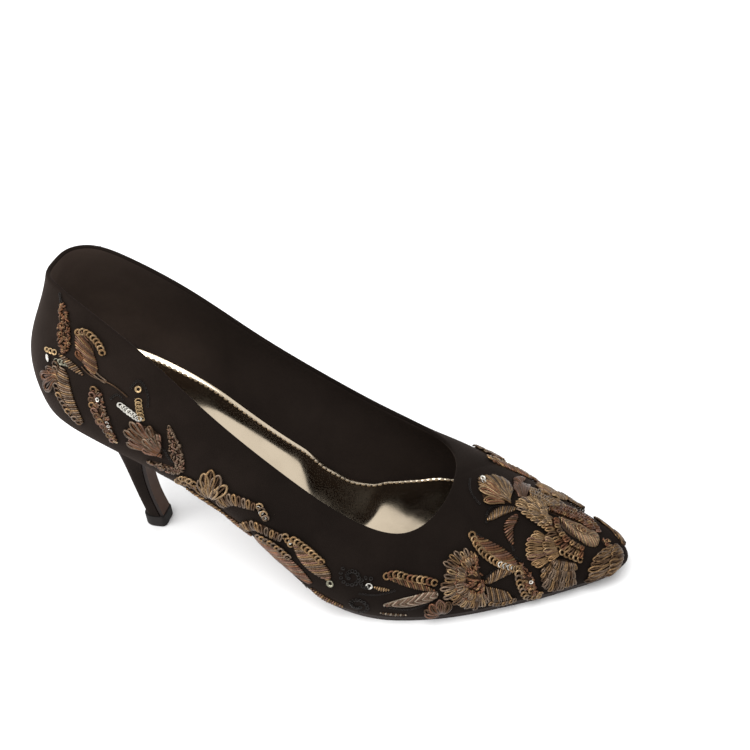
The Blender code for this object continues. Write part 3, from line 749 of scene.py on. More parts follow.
class EffectGroup:
    """A shader node group with named sockets."""

    def __init__(self, name, inputs, outputs):
        self.tree = bpy.data.node_groups.new(name, "ShaderNodeTree")
        kinds = {"f": "NodeSocketFloat", "c": "NodeSocketColor", "v": "NodeSocketVector"}
        for socket, kind, value in inputs:
            item = self.tree.interface.new_socket(socket, in_out="INPUT",
                                                  socket_type=kinds[kind])
            item.default_value = socket_value(value)
        for socket, kind in outputs:
            self.tree.interface.new_socket(socket, in_out="OUTPUT", socket_type=kinds[kind])
        self.given = self.tree.nodes.new("NodeGroupInput").outputs
        self.result = self.tree.nodes.new("NodeGroupOutput").inputs

    def node(self, kind, links=None, **settings):
        """A node with settings by attribute, and links by input name or number."""
        node = self.tree.nodes.new("ShaderNode" + kind)
        for key, value in settings.items():
            setattr(node, key, value)
        for key, value in (links or {}).items():
            if isinstance(value, bpy.types.NodeSocket):
                self.tree.links.new(value, node.inputs[key])
            else:
                node.inputs[key].default_value = value
        return node

    def math(self, operation, a, b, clamp=False):
        return self.node("Math", {0: a, 1: b}, operation=operation, use_clamp=clamp).outputs[0]

    def mix(self, share, a, b):
        """A colour between two colours; the sockets of a Mix node go by number."""
        return self.node("Mix", {0: share, 6: a, 7: b}, data_type="RGBA").outputs[2]

    def ramp(self, value, low, high, start=0.0, end=1.0):
        """A value stretched from low..high to start..end, and held at both ends."""
        return self.node("MapRange", {"Value": value, "From Min": low, "From Max": high,
                                      "To Min": start, "To Max": end}).outputs[0]

    def scaled(self, color, level):
        """A colour made lighter or darker by a level."""
        return self.node("VectorMath", {0: color, "Scale": level}, operation="SCALE").outputs[0]

    def place(self):
        """Where the surface is, in the piece's own coordinates."""
        return self.node("TexCoord").outputs["Object"]

    def put(self, output, socket):
        self.tree.links.new(output, self.result[socket])


def pile_group():
    """Velvet pile: brushed patches, fine fibres, and painted light that scales the colour up towards
    the heel.
    """
    group = EffectGroup(
        "velvet_pile",
        [("Pile Color", "c", (0.016, 0.011, 0.01)), ("Brushed Color", "c", (0.03, 0.022, 0.02)),
         ("Patch Size", "f", 60.0), ("Fibre Size", "f", 2600.0), ("Heel Tone", "f", 1.0),
         ("Tone Start", "f", -0.1), ("Tone End", "f", 0.0)],
        [("Color", "c"), ("Height", "f")])
    given = group.given
    place = group.place()
    along = group.node("SeparateXYZ", {"Vector": place}).outputs["X"]
    # painted light: behind the given start along the shoe the colour is multiplied by the heel
    # value, easing back to its own colour at the given end
    tone = group.ramp(along, given["Tone Start"], given["Tone End"], given["Heel Tone"])
    patch = group.node("TexNoise", {"Vector": place, "Scale": given["Patch Size"],
                                    "Detail": 4.0, "Roughness": 0.6}).outputs["Fac"]
    fibre = group.node("TexNoise", {"Vector": place, "Scale": given["Fibre Size"],
                                    "Detail": 2.0, "Roughness": 0.7}).outputs["Fac"]
    lay = group.math("MULTIPLY", group.ramp(patch, 0.38, 0.66), 0.7)
    speck = group.math("MULTIPLY", group.ramp(fibre, 0.35, 0.8), 0.5)
    share = group.math("MULTIPLY", group.math("ADD", lay, speck), 0.75, True)
    pile = group.mix(share, given["Pile Color"], given["Brushed Color"])
    group.put(group.scaled(pile, tone), "Color")
    group.put(group.math("ADD", fibre, group.math("MULTIPLY", patch, 0.6)), "Height")
    return group.tree


def leather_group():
    """Leather: broad cloudy tone, creases across the shoe, grain, and duller scuffed places."""
    group = EffectGroup(
        "leather_grain",
        [("Leather Color", "c", (0.1, 0.06, 0.04)), ("Scuffed Color", "c", (0.07, 0.04, 0.03)),
         ("Grain Size", "f", 1500.0), ("Grain Share", "f", 0.2), ("Crease Size", "f", 120.0),
         ("Scuffs", "f", 0.5), ("Gloss", "f", 0.4)],
        [("Color", "c"), ("Roughness", "f"), ("Height", "f")])
    given = group.given
    place = group.place()
    cloud = group.node("TexNoise", {"Vector": place, "Scale": 55.0, "Detail": 4.0}).outputs[0]
    stretched = group.node("Mapping", {"Vector": place, "Scale": (1.0, 0.3, 1.0)}).outputs[0]
    crease = group.node("TexNoise", {"Vector": stretched, "Scale": given["Crease Size"],
                                     "Detail": 3.0, "Distortion": 0.4}).outputs[0]
    grain = group.node("TexVoronoi", {"Vector": place, "Scale": given["Grain Size"]},
                       feature="SMOOTH_F1").outputs["Distance"]
    share = group.math("MULTIPLY", group.ramp(cloud, 0.4, 0.68), given["Scuffs"], True)
    group.put(group.mix(share, given["Leather Color"], given["Scuffed Color"]), "Color")
    group.put(group.math("ADD", given["Gloss"], group.math("MULTIPLY", share, 0.12)),
              "Roughness")
    group.put(group.math("ADD", crease, group.math("MULTIPLY", grain, given["Grain Share"])),
              "Height")
    return group.tree


def purl_group():
    """Lustre of coiled metal thread: tone from strand to strand, tarnish, and fine flecks that are
    its bump and a painted sparkle in its colour.
    """
    group = EffectGroup(
        "purl_lustre",
        [("Metal Color", "c", (0.4, 0.3, 0.18)), ("Tarnish Color", "c", (0.12, 0.08, 0.05)),
         ("Tarnish", "f", 0.5), ("Fleck Size", "f", 1800.0)],
        [("Color", "c"), ("Roughness", "f"), ("Height", "f")])
    given = group.given
    place = group.place()
    tone = group.node("Attribute", attribute_name="tone").outputs["Fac"]
    cloud = group.node("TexNoise", {"Vector": place, "Scale": 420.0, "Detail": 3.0}).outputs[0]
    relief_and_sparkle = group.node("TexNoise", {"Vector": place, "Scale": given["Fleck Size"],
                                    "Detail": 1.0}).outputs[0]
    share = group.math("MULTIPLY", group.ramp(cloud, 0.42, 0.68), given["Tarnish"], True)
    metal = group.mix(share, given["Metal Color"], given["Tarnish Color"])
    # painted sparkle: the flecks brighten and darken the colour in fine specks, standing in for
    # glints on the wire
    level = group.math("MULTIPLY", tone, group.ramp(relief_and_sparkle, 0.3, 0.75, 0.7, 1.25))
    group.put(group.scaled(metal, level), "Color")
    group.put(group.math("ADD", group.math("MULTIPLY", share, 0.22), 0.28), "Roughness")
    group.put(relief_and_sparkle, "Height")
    return group.tree


PILE, LEATHER, PURL = pile_group(), leather_group(), purl_group()


def velvet(name, dark, brushed, patch_size, **tone):
    """Velvet, which soaks up light and keeps a faint warm sheen; the values passed as tone are
    painted light that brightens it towards the heel.
    """
    finish = Finish(name, roughness=0.95, specular_ior_level=0.04, sheen_weight=0.06,
                    sheen_roughness=0.4, sheen_tint=(0.75, 0.58, 0.5))
    return finish.cover(PILE, 0.5, 0.15 * MM, Pile_Color=dark, Brushed_Color=brushed,
                        Patch_Size=patch_size, **tone)


def leather(name, color, scuffed, gloss, grain=1500.0, crease=120.0, scuffs=0.6, depth=0.1,
            share=0.25, **values):
    """Leather, rubber or thread with grain and creases; depth is its relief in mm."""
    return Finish(name, **values).cover(
        LEATHER, 0.5, depth * MM, Leather_Color=color, Scuffed_Color=scuffed, Gloss=gloss,
        Grain_Size=grain, Crease_Size=crease, Scuffs=scuffs, Grain_Share=share)


def purl(name, metal, tarnished, tarnish=0.55, metallic=0.85, specular=0.5):
    """Metal thread or a sequin, bright where it isn't tarnished."""
    finish = Finish(name, metallic=metallic, roughness=0.35, specular_ior_level=specular)
    return finish.cover(PURL, 0.35, 0.05 * MM, Metal_Color=metal, Tarnish_Color=tarnished,
                        Tarnish=tarnish)


# painted light: the back of the upper is made up to half again as bright as the vamp, for the light
# that falls on the upright quarter
VELVET = velvet("black_velvet", (0.0054, 0.0037, 0.0029), (0.0091, 0.0063, 0.005), 60.0,
                Heel_Tone=1.5, Tone_Start=-0.06, Tone_End=-0.01)
HEEL_VELVET = velvet("heel_velvet", (0.006, 0.0042, 0.0034), (0.01, 0.007, 0.0058), 90.0)
# painted fill light: the lining inside the heel is made up to four times as bright, where shade
# falls deep inside the shoe
LINING = velvet("dark_lining", (0.012, 0.0085, 0.007), (0.018, 0.013, 0.0105), 45.0,
                Heel_Tone=4.0, Tone_Start=-0.1, Tone_End=-0.05)
SOCK_LEATHER = leather("pale_gold_leather", (0.63, 0.53, 0.4), (0.55, 0.46, 0.34), gloss=0.13,
                       grain=1300.0, crease=75.0, scuffs=0.8, depth=0.24, share=0.02,
                       metallic=1.0)
SOLE_LEATHER = leather("brown_sole_leather", (0.06, 0.033, 0.022), (0.04, 0.022, 0.015),
                       gloss=0.5, specular_ior_level=0.1)
SOLE_EDGE = leather("dyed_sole_edge", (0.014, 0.009, 0.0075), (0.022, 0.014, 0.011), gloss=0.5,
                    specular_ior_level=0.2)
SOCK_THREAD = leather("beige_thread", (0.5, 0.42, 0.32), (0.36, 0.3, 0.22), gloss=0.55,
                      grain=5000.0, crease=900.0, scuffs=0.8, depth=0.05)
RUBBER = leather("black_rubber", (0.008, 0.0065, 0.006), (0.016, 0.013, 0.012), gloss=0.6,
                 grain=3200.0, crease=260.0, scuffs=0.8, depth=0.06, specular_ior_level=0.15)

# The embroiderer's threads, sequins and felt, by the names that the motifs use.
THREADS = {
    "gold": purl("gold_purl", (0.18, 0.108, 0.05), (0.065, 0.036, 0.018)),
    "cream": purl("pale_gold_purl", (0.235, 0.155, 0.082), (0.1, 0.064, 0.034), tarnish=0.4),
    "copper": purl("copper_purl", (0.13, 0.058, 0.03), (0.045, 0.021, 0.013)),
    "rust": purl("rust_purl", (0.1, 0.042, 0.018), (0.035, 0.016, 0.009)),
    "rose": purl("rose_purl", (0.13, 0.07, 0.047), (0.052, 0.028, 0.02)),
    "pewter": purl("pewter_purl", (0.125, 0.086, 0.058), (0.045, 0.03, 0.02)),
    "bronze": purl("bronze_purl", (0.075, 0.042, 0.022), (0.026, 0.015, 0.009)),
    "silver": purl("silver_purl", (0.25, 0.2, 0.15), (0.1, 0.08, 0.062), tarnish=0.4),
    "gilt": purl("gilt_sequin", (0.36, 0.25, 0.13), (0.16, 0.105, 0.055), tarnish=0.4, metallic=0.9),
    "pearl": purl("pearl_sequin", (0.56, 0.54, 0.49), (0.4, 0.38, 0.34), tarnish=0.4, metallic=0.8),
    "moss": purl("moss_sequin", (0.2, 0.19, 0.14), (0.1, 0.095, 0.07), tarnish=0.4, metallic=0.8),
    "felt": purl("brown_felt", (0.036, 0.02, 0.012), (0.02, 0.011, 0.007), tarnish=0.6,
                 metallic=0.0, specular=0.05),
    "jet": purl("jet_sequin", (0.01, 0.008, 0.007), (0.005, 0.004, 0.0035), tarnish=0.4,
                metallic=0.0, specular=0.1),
}


# ------------------------------------------------- the shoe without embroidery
WELD_REACH = 0.002 * MM


def weld(piece):
    """Join the doubled points where a row closes to one point."""
    mesh = bmesh.new()
    mesh.from_mesh(piece.data)
    bmesh.ops.remove_doubles(mesh, verts=mesh.verts, dist=WELD_REACH)
    bmesh.ops.recalc_face_normals(mesh, faces=mesh.faces)
    mesh.to_mesh(piece.data)
    mesh.free()


shell_verts, shell_faces, shell_slots = upper_shell()
upper = make_piece("velvet_upper", shell_verts, shell_faces, (VELVET, LINING), shell_slots,
                   slot_name="upper")
sharp_edges(upper, 60)
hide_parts("upper")

insole_verts, insole_faces = insole_sheet()[:2]
insole = make_piece("leather_sock", insole_verts, insole_faces, (SOCK_LEATHER,),
                    slot_name="insole")
weld(insole)
sharp_edges(insole, 50)
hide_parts("insole")

STITCH_LENGTH, STITCH_PITCH = 1.7 * MM, 2.5 * MM
STITCH_RADII = np.array([0.5, 0.9, 1.0, 1.0, 1.0, 0.9, 0.5]) * 0.34 * MM   # end to end
STITCH_RISE = 0.4 * MM        # how far its middle stands above its holes
STITCH_ROUND = 0.6            # power of its bow: less is fuller
STITCH_SIDES = 7
FIRST_STITCH = 0.6 * MM       # from the end of the line
STITCHED_LENGTH = (0.012, 0.985)   # sections between which the sock is stitched
STITCH_LINE_POINTS = 500


def stitch_line(side):
    """The line of the stitches on the sock, just inside its lip."""
    points = []
    for s in np.linspace(*STITCHED_LENGTH, STITCH_LINE_POINTS):
        ends = cross_row(s, INSOLE_INSET, 0.0, 1)
        inset = sock_row(s)[2] + GROOVE_INSET
        share = max(0.0, 1.0 - 2.0 * inset / np.linalg.norm(ends[1] - ends[0]))
        points.append(sock_rows(s, np.array([side * share]))[1][0])
    return np.array(points)


def tube(centre, across, above, radii, angles):
    """Rings of points round a line, one ring at each of its points."""
    return (centre[:, None]
            + (radii[:, None] * np.cos(angles))[..., None] * across[:, None]
            + (radii[:, None] * np.sin(angles))[..., None] * above[:, None]).reshape(-1, 3)


def sock_stitches():
    """Thread stitches along both edges of the sock, as short tubes that dip at both ends."""
    verts, faces = [], []
    rings = len(STITCH_RADII)
    bow = STITCH_RISE * np.sin(np.linspace(0.0, np.pi, rings)) ** STITCH_ROUND
    angles = np.arange(STITCH_SIDES) * 2.0 * np.pi / STITCH_SIDES
    for side in (-1, 1):
        line = stitch_line(side)
        way = np.concatenate([[0.0], np.cumsum(np.linalg.norm(np.diff(line, axis=0), axis=1))])
        for start in np.arange(FIRST_STITCH, way[-1] - STITCH_LENGTH, STITCH_PITCH):
            at = start + np.linspace(0.0, STITCH_LENGTH, rings)
            centre = np.stack([np.interp(at, way, line[:, axis]) for axis in range(3)], axis=1)
            centre[:, 2] += bow
            ahead = unit(np.gradient(centre, axis=0))
            across = unit(np.cross((0.0, 0.0, 1.0), ahead))
            first = len(verts) * rings * STITCH_SIDES
            faces += [(np.asarray(face) + first).tolist()
                      for face in ring_faces(rings, STITCH_SIDES)]
            verts.append(tube(centre, across, np.cross(ahead, across), STITCH_RADII, angles))
    return np.concatenate(verts), faces


stitch_verts, stitch_faces = sock_stitches()
make_piece("sock_stitching", stitch_verts, stitch_faces, (SOCK_THREAD,), slot_name="insole")

sole_verts, sole_faces, sole_edges = outsole_plate()
outsole = make_piece("leather_outsole", sole_verts, sole_faces, (SOLE_LEATHER, SOLE_EDGE),
                     sole_edges, slot_name="outsole")
weld(outsole)
sharp_edges(outsole, 35)
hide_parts("outsole")

heel = make_piece("covered_heel", *heel_rings(), (HEEL_VELVET,), slot_name="heel")
sharp_edges(heel, 40)
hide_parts("heel")

lift = make_piece("heel_top_piece", *lift_rings(), (RUBBER,), slot_name="top_piece")
sharp_edges(lift, 50)
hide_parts("top_piece")

# ------------------------------------------------------------------ embroidery
# A spot on the upper is (along, up) in percent. Along runs from 0 at the heel seam to 100 at the
# toe, up from 0 at the feather line to 100 at the collar or the ridge. Above 100 a spot goes on
# down the other side of the vamp, and below 0 along it goes on round the heel seam.
# Hand 1 works on the outer side of the shoe and -1 on the inner side, as its mirror.
PURL_RADIUS = 0.46 * MM       # coiled metal thread
COIL_PITCH = 0.85 * MM        # from turn to turn of its wire
COIL_DEPTH = 0.16             # share of the radius between the turns
COIL_END = 0.55               # share of the radius where the thread is cut
ARCH_ROUND = 0.7              # power of its arch over the padding: less is fuller
PURL_SIDES = 6
PURL_SPACING = 0.93 * MM      # from thread to thread where they lie side by side
SUNK = 0.16 * MM              # lift of a thread's ends, which go down into the pile
RESTING = 0.36 * MM           # lift of a thread that lies on the pile
PADDING = 0.9 * MM            # felt under a motif, which lifts the middle of its threads
LOW_PADDING = 0.4 * MM        # where a motif lies on the edge that stands out against the light
FINE = 0.74                   # gauge of a fine thread, as a share of the usual one
# How threads differ by hand, as shares of the usual height, radius and brightness.
HEIGHT_SPREAD = (0.88, 1.12)
RADIUS_SPREAD = (0.94, 1.06)
TONE_SPREAD = (0.72, 1.22)
LEAF_MARGIN = (0.03, 0.97)    # shares of a leaf's length between which it is padded
LEAF_PAD = 0.46               # half width of its pad, as a share of the leaf's width
LEAF_BLUNT, LAID_BLUNT = 0.7, 0.6    # powers of a leaf's outline: less is blunter
TIP_PAD = 0.45                # share of the padding left where a leaf comes to a point
VEIN_START = 0.3              # where a vein's first thread lies, in steps between threads
VEIN_SHARE = 0.5              # share of the padding by which its threads start higher
MARGIN_POINTS = 12            # points along the edge of a felt pad
LEAN_REACH = 3.5 * MM         # the most that a leaning thread runs ahead of its root
rand = np.random.default_rng(38)

ground_verts, ground_quads = UPPER_SHEET[:2]
GROUND_NORMALS = quad_normals(ground_verts, ground_quads)
GROUND = BVHTree.FromPolygons(ground_verts.tolist(), ground_quads.tolist())


def spot_point(spot, hand):
    """The place of one spot, brought round the ridge or the heel seam where it goes past them."""
    along, up = spot
    side = -hand
    if along < 0.0:
        along = -along
        side = -side
    if up > 100.0:
        up = 200.0 - up
        side = -side
    return shoe_point(along / 100.0, up / 100.0, side)


def on_ground(points):
    """Nearest places on the velvet, with its outward direction there."""
    places = np.empty((len(points), 3))
    normals = np.empty((len(points), 3))
    for i, point in enumerate(points):
        places[i], _, face, _ = GROUND.find_nearest(point)
        normals[i] = GROUND_NORMALS[ground_quads[face]].mean(axis=0)
    return places, normals / np.linalg.norm(normals, axis=1, keepdims=True)


LENGTH_POINTS = 17            # along a line whose length is taken
LEAST_STEP = 1.0e-6           # keeps two spots in one place apart
HEADING_STEP = 0.01           # share of a line's length that gives its direction


def smooth_line(points, shares):
    """Points at shares 0..1 of the length of a smooth line through the given points."""
    points = np.asarray(points, float)
    steps = np.linalg.norm(np.diff(points, axis=0), axis=1)
    k = np.concatenate([[0.0], np.cumsum(np.maximum(steps, LEAST_STEP))])
    k /= k[-1]
    return np.stack([spline(k, points[:, axis])(shares) for axis in range(3)], axis=-1)


def line_length(points):
    """Length of the smooth line through the given points."""
    line = smooth_line(points, np.linspace(0.0, 1.0, LENGTH_POINTS))
    return float(np.linalg.norm(np.diff(line, axis=0), axis=1).sum())


class Panel:
    """All threads or sequins of one panel, gathered into one piece."""

    def __init__(self, name, hand):
        self.name = name
        self.hand = hand
        self.verts = []
        self.faces = []
        self.slots = []
        self.tones = []
        self.finishes = []
        self.count = 0
        self.gauge = 1.0

    def spacing(self):
        """From thread to thread where they lie side by side, at the gauge in use."""
        return PURL_SPACING * self.gauge

    def radius(self):
        """Radius of a thread at the gauge in use."""
        return PURL_RADIUS * self.gauge

    def points(self, spots):
        """The places of spots on this panel's side of the shoe."""
        return np.array([spot_point(spot, self.hand) for spot in spots])

    def add(self, verts, faces, finish, tone):
        """Take in one more thread, pad or sequin of one finish and brightness."""
        if finish not in self.finishes:
            self.finishes.append(finish)
        self.verts.append(verts)
        self.faces.extend((np.asarray(face) + self.count).tolist() for face in faces)
        self.slots.extend([self.finishes.index(finish)] * len(faces))
        self.tones.append(np.full(len(verts), tone))
        self.count += len(verts)

    def sew(self):
        """Make the piece, with the brightness of each thread as an attribute."""
        piece = make_piece(self.name, np.concatenate(self.verts), self.faces,
                           [THREADS[finish] for finish in self.finishes], self.slots)
        tones = piece.data.attributes.new("tone", "FLOAT", "POINT")
        tones.data.foreach_set("value", np.concatenate(self.tones).astype(np.float32))


def lay_thread(panel, points, thread, lifts=(SUNK, SUNK), pad=PADDING, doubled=False,
               radius=None):
    """A coiled metal thread over the upper, sewn down at its ends and lifted between them.

    A doubled thread goes out over the padding, round its tip and back.
    """
    length = line_length(points)
    rings = 2 * max(2, int(round(length / (COIL_PITCH * panel.gauge)))) + 1
    t = np.linspace(0.0, 1.0, rings)
    places, normals = on_ground(smooth_line(points, t))
    arches = 2.0 if doubled else 1.0
    arch = np.abs(np.sin(np.pi * arches * t)) ** ARCH_ROUND
    tip = RESTING * np.sin(np.pi * t) ** 2 if doubled else 0.0
    lift = lifts[0] * (1.0 - t) + lifts[1] * t + tip
    lift += arch * pad * rand.uniform(*HEIGHT_SPREAD)
    centre = places + normals * lift[:, None]
    along = unit(np.gradient(centre, axis=0))
    across = unit(np.cross(normals, along))
    r = ((radius or panel.radius()) * rand.uniform(*RADIUS_SPREAD)
         * (1.0 - COIL_DEPTH * (np.arange(rings) % 2)))
    r[[0, -1]] *= COIL_END
    angles = np.arange(PURL_SIDES) * 2.0 * np.pi / PURL_SIDES + rand.uniform(0.0, 1.0)
    panel.add(tube(centre, across, np.cross(along, across), r, angles),
              ring_faces(rings, PURL_SIDES), thread, rand.uniform(*TONE_SPREAD))


def axis_frame(panel, spots, shares):
    """Places, headings and left-hand directions along a motif's middle line."""
    points = panel.points(spots)
    places, normals = on_ground(smooth_line(points, shares))
    ahead = smooth_line(points, np.clip(shares + HEADING_STEP, 0.0, 1.0))
    behind = smooth_line(points, np.clip(shares - HEADING_STEP, 0.0, 1.0))
    heading = unit(ahead - behind)
    return places, heading, unit(np.cross(normals, heading)) * panel.hand


def leaf_width(shares, widest, blunt=LEAF_BLUNT):
    """Share of the full width along a leaf that is widest at the given share of its length."""
    power = math.log(0.5) / math.log(widest)
    return np.sin(np.pi * np.clip(shares, 0.0, 1.0) ** power) ** blunt


FELT_CELLS = 6                # across a pad
FELT_ROUND = (0.35, 0.45)     # powers of its height along and across: less is squarer
FELT_DEPTH = 0.08 * MM        # how far its edge goes down into the pile
FELT_LEAST = 0.1 * MM         # its height where it carries nothing
FELT_SHARE = 0.75             # of the padding's height that is felt, under the threads


def felt_pad(panel, near_line, far_line, rise=PADDING):
    """A low felt cushion between two lines of points, which carries a motif's threads."""
    t = np.linspace(0.0, 1.0, FELT_CELLS + 1)
    u = np.linspace(0.0, 1.0, len(near_line))
    grid = near_line[:, None] * (1.0 - t)[:, None] + far_line[:, None] * t[:, None]
    places, normals = on_ground(grid.reshape(-1, 3))
    height = np.outer(np.sin(np.pi * u) ** FELT_ROUND[0],
                      np.sin(np.pi * t) ** FELT_ROUND[1]).ravel()
    height = height * (FELT_SHARE * rise + FELT_LEAST) - FELT_DEPTH
    verts = places + normals * height[:, None]
    index = np.arange(len(verts)).reshape(len(u), FELT_CELLS + 1)
    quads = np.stack([index[:-1, :-1], index[1:, :-1], index[1:, 1:], index[:-1, 1:]],
                     axis=-1).reshape(-1, 4)
    a, b, d = verts[quads[0, 0]], verts[quads[0, 1]], verts[quads[0, 3]]
    if np.dot(np.cross(b - a, d - a), normals[0]) < 0.0:
        quads = quads[:, ::-1]
    panel.add(verts, list(quads), "felt", 1.0)


def pad_leaf(panel, spots, width, widest, pad, blunt=LEAF_BLUNT):
    """Felt under a leaf, a little narrower than the leaf."""
    shares = np.linspace(*LEAF_MARGIN, MARGIN_POINTS)
    places, _, left = axis_frame(panel, spots, shares)
    reach = (leaf_width(shares, widest, blunt) * width * MM * LEAF_PAD)[:, None]
    felt_pad(panel, places - left * reach, places + left * reach, pad)


def thread_count(panel, spots):
    """How many threads lie side by side along a leaf's middle line."""
    return max(3, int(round(line_length(panel.points(spots)) / panel.spacing())))


def laid_leaf(panel, spots, width, lean, threads, widest=0.5, pad=PADDING, bow=0.0):
    """A leaf of threads laid side by side across it, leaning towards its tip on the left."""
    count = thread_count(panel, spots)
    shares = (np.arange(count) + 0.5) / count
    places, heading, left = axis_frame(panel, spots, shares)
    half = width * MM / 2.0
    reaches = leaf_width(shares, widest, LAID_BLUNT) * width * MM / 2.0
    pad_leaf(panel, spots, width, widest, pad, LAID_BLUNT)
    slope = math.tan(math.radians(lean))
    for i, reach in enumerate(reaches):
        lead = heading[i] * min(reach * abs(slope), LEAN_REACH) * np.sign(slope)
        middle = places[i] + heading[i] * bow * MM * reach / half
        lay_thread(panel, [places[i] - left[i] * reach - lead, middle,
                           places[i] + left[i] * reach + lead],
                   threads[i % len(threads)],
                   pad=pad * (TIP_PAD + (1.0 - TIP_PAD) * reach / half))


LEAF_CHIP = 1.7 * MM          # length of the cut purl in a leaf
CHIP_GAUGE = 0.85             # its gauge, as a share of the usual one
LEAF_AREA = 0.68              # a leaf's area as a share of its length times its width
CHIP_EDGE = 0.86              # share of the half width that the middles of the chips reach
CHIP_PAD = 0.6 * MM           # padding along the leaf's middle line
CHIP_FALL = 0.6               # share of it that is lost towards the edge


def chip_leaf(panel, spots, width, threads, widest=0.5, cover=2.0):
    """A leaf filled with short cut purl that lies at all angles."""
    length = line_length(panel.points(spots))
    pad_leaf(panel, spots, width, widest, CHIP_PAD)
    thick = panel.radius() * CHIP_GAUGE
    count = int(cover * length * width * MM * LEAF_AREA / (LEAF_CHIP * 2.0 * thick))
    shares = np.sort(rand.uniform(*LEAF_MARGIN, count))
    places, heading, left = axis_frame(panel, spots, shares)
    half_width = leaf_width(shares, widest) * width * MM / 2.0
    for i in range(count):
        offset = rand.uniform(-CHIP_EDGE, CHIP_EDGE)
        middle = places[i] + left[i] * offset * half_width[i]
        angle = rand.uniform(0.0, math.pi)
        reach = (heading[i] * math.cos(angle) + left[i] * math.sin(angle)) * LEAF_CHIP / 2.0
        lay_thread(panel, [middle - reach, middle + reach], threads[i % len(threads)],
                   lifts=(RESTING, RESTING), radius=thick,
                   pad=CHIP_PAD * (1.0 - CHIP_FALL * offset * offset))


def veined_leaf(panel, spots, width, lean, threads, widest=0.5, pad=PADDING):
    """A leaf whose threads run out from its vein to both edges, leaning to the tip."""
    count = thread_count(panel, spots)
    shares = (np.arange(count) + VEIN_START) / count
    places, heading, left = axis_frame(panel, spots, shares)
    half_width = leaf_width(shares, widest) * width * MM / 2.0
    pad_leaf(panel, spots, width, widest, pad)
    slope = math.tan(math.radians(lean))
    for i, reach in enumerate(half_width):
        for side in (-1, 1):
            end = places[i] + left[i] * reach * side + heading[i] * reach * slope
            lay_thread(panel, [places[i], (places[i] + end) / 2.0, end],
                       threads[i % len(threads)], lifts=(RESTING + pad * VEIN_SHARE, SUNK),
                       pad=pad * (1.0 - VEIN_SHARE))


LOOP_FOOT = 0.45              # how far apart a loop's feet stand, as a share of its width
LOOP_RISE = 0.1               # how much more padding each inner loop has, as a share
# A finger starts past its root by this share of its length, or this far if that is less.
FINGER_START = (0.12, 0.8 * MM)
# The rest of a looped finger, in thread radii.
LOOP_LEAST = 1.02             # half width of the narrowest loop
LOOP_ROOM = 2.2               # length that a loop needs beyond its half width
LOOP_STEP = 1.85              # from the side of one loop to the next one inside it
LOOP_BACK = 1.95              # from the tip of one loop to the next one inside it
STRAND_LEAST = -0.75          # half width left over that still takes one straight thread
STRAND_ROOM = 2.0             # length that this thread needs


def hairpin(panel, start, tip, normal, out, thread, pad, lift):
    """A thread out to the tip, round it and back, its two sides twice the given way apart."""
    ahead = unit(tip - start)
    side = unit(np.cross(normal, ahead)) * panel.hand
    middle = (start + tip) / 2.0
    knee = tip - ahead * (out + panel.radius())
    crown = tip - ahead * panel.radius()
    foot = side * out * LOOP_FOOT
    points = [start - foot, middle - side * out, knee - side * out, crown,
              knee + side * out, middle + side * out, start + foot]
    lay_thread(panel, points, thread, doubled=True, pad=pad, lifts=(lift, lift))


def finger(panel, root, tip, width, thread, core=None, pad=PADDING, lift=RESTING):
    """A looped finger, filled with shorter loops and at last one thread along its middle."""
    _, normal = on_ground([(root + tip) / 2.0])
    length = float(np.linalg.norm(tip - root))
    ahead = (tip - root) / max(length, LEAST_STEP)
    start = root + ahead * min(FINGER_START[0] * length, FINGER_START[1])
    thick = panel.radius()
    out = max(LOOP_LEAST * thick, width * MM / 2.0 - thick)
    colors = (thread, core or thread)
    level = 0
    while out >= LOOP_LEAST * thick and np.dot(tip - start, ahead) > out + LOOP_ROOM * thick:
        hairpin(panel, start, tip, normal[0], out, colors[level % 2],
                pad * (1.0 + LOOP_RISE * level), lift)
        level += 1
        out -= LOOP_STEP * thick
        tip = tip - ahead * LOOP_BACK * thick
    if out > STRAND_LEAST * thick and np.dot(tip - start, ahead) > STRAND_ROOM * thick:
        lay_thread(panel, [start, (start + tip) / 2.0, tip], colors[level % 2],
                   pad=pad * (1.0 + LOOP_RISE), lifts=(lift, lift))


FAN_MARGIN = (-0.06, 1.06)    # shares of a fan's rim between which it is padded
FAN_PAD = 0.88                # share of a fan's length that is padded
FAN_TOUCH = 0.98              # width of a finger, in steps from tip to tip
FAN_WIDTHS = (0.85, 1.5)      # least and most width of a finger, as shares of the usual one
TIER_STEP = 0.36              # share of the length by which each tier of a fan is shorter
TIER_WIDTH = (0.3, 0.7)       # of its finger's width, what stays and what shortens with it
TIER_LIFT, TIER_PAD = 0.4 * MM, 0.9      # its lift, and its share of the padding


def finger_fan(panel, root, tips, width, threads, core=None, pad=PADDING, tiers=1):
    """Fingers that spread from one root and touch, as in a shell; a second tier covers the root."""
    base = spot_point(root, panel.hand)
    ends = panel.points(tips)
    rim = smooth_line(base + (ends - base) * FAN_PAD, np.linspace(*FAN_MARGIN, MARGIN_POINTS))
    felt_pad(panel, np.repeat(base[None], MARGIN_POINTS, axis=0), rim, pad)
    steps = np.linalg.norm(np.diff(ends, axis=0), axis=1) / MM
    reach = (np.append(steps, steps[-1]) + np.append(steps[0], steps)) / 2.0
    widths = np.clip(reach * FAN_TOUCH, width * FAN_WIDTHS[0], width * FAN_WIDTHS[1])
    for i, tip in enumerate(ends):
        finger(panel, base, tip, widths[i], threads[i % len(threads)], core, pad)
    for tier in range(1, tiers):
        share = 1.0 - tier * TIER_STEP
        for i, (a, b) in enumerate(zip(ends, ends[1:])):
            tip = base + ((a + b) / 2.0 - base) * share
            finger(panel, base, tip, widths[i] * (TIER_WIDTH[0] + TIER_WIDTH[1] * share),
                   threads[(i + tier) % len(threads)], core, pad * TIER_PAD,
                   RESTING + TIER_LIFT * tier)


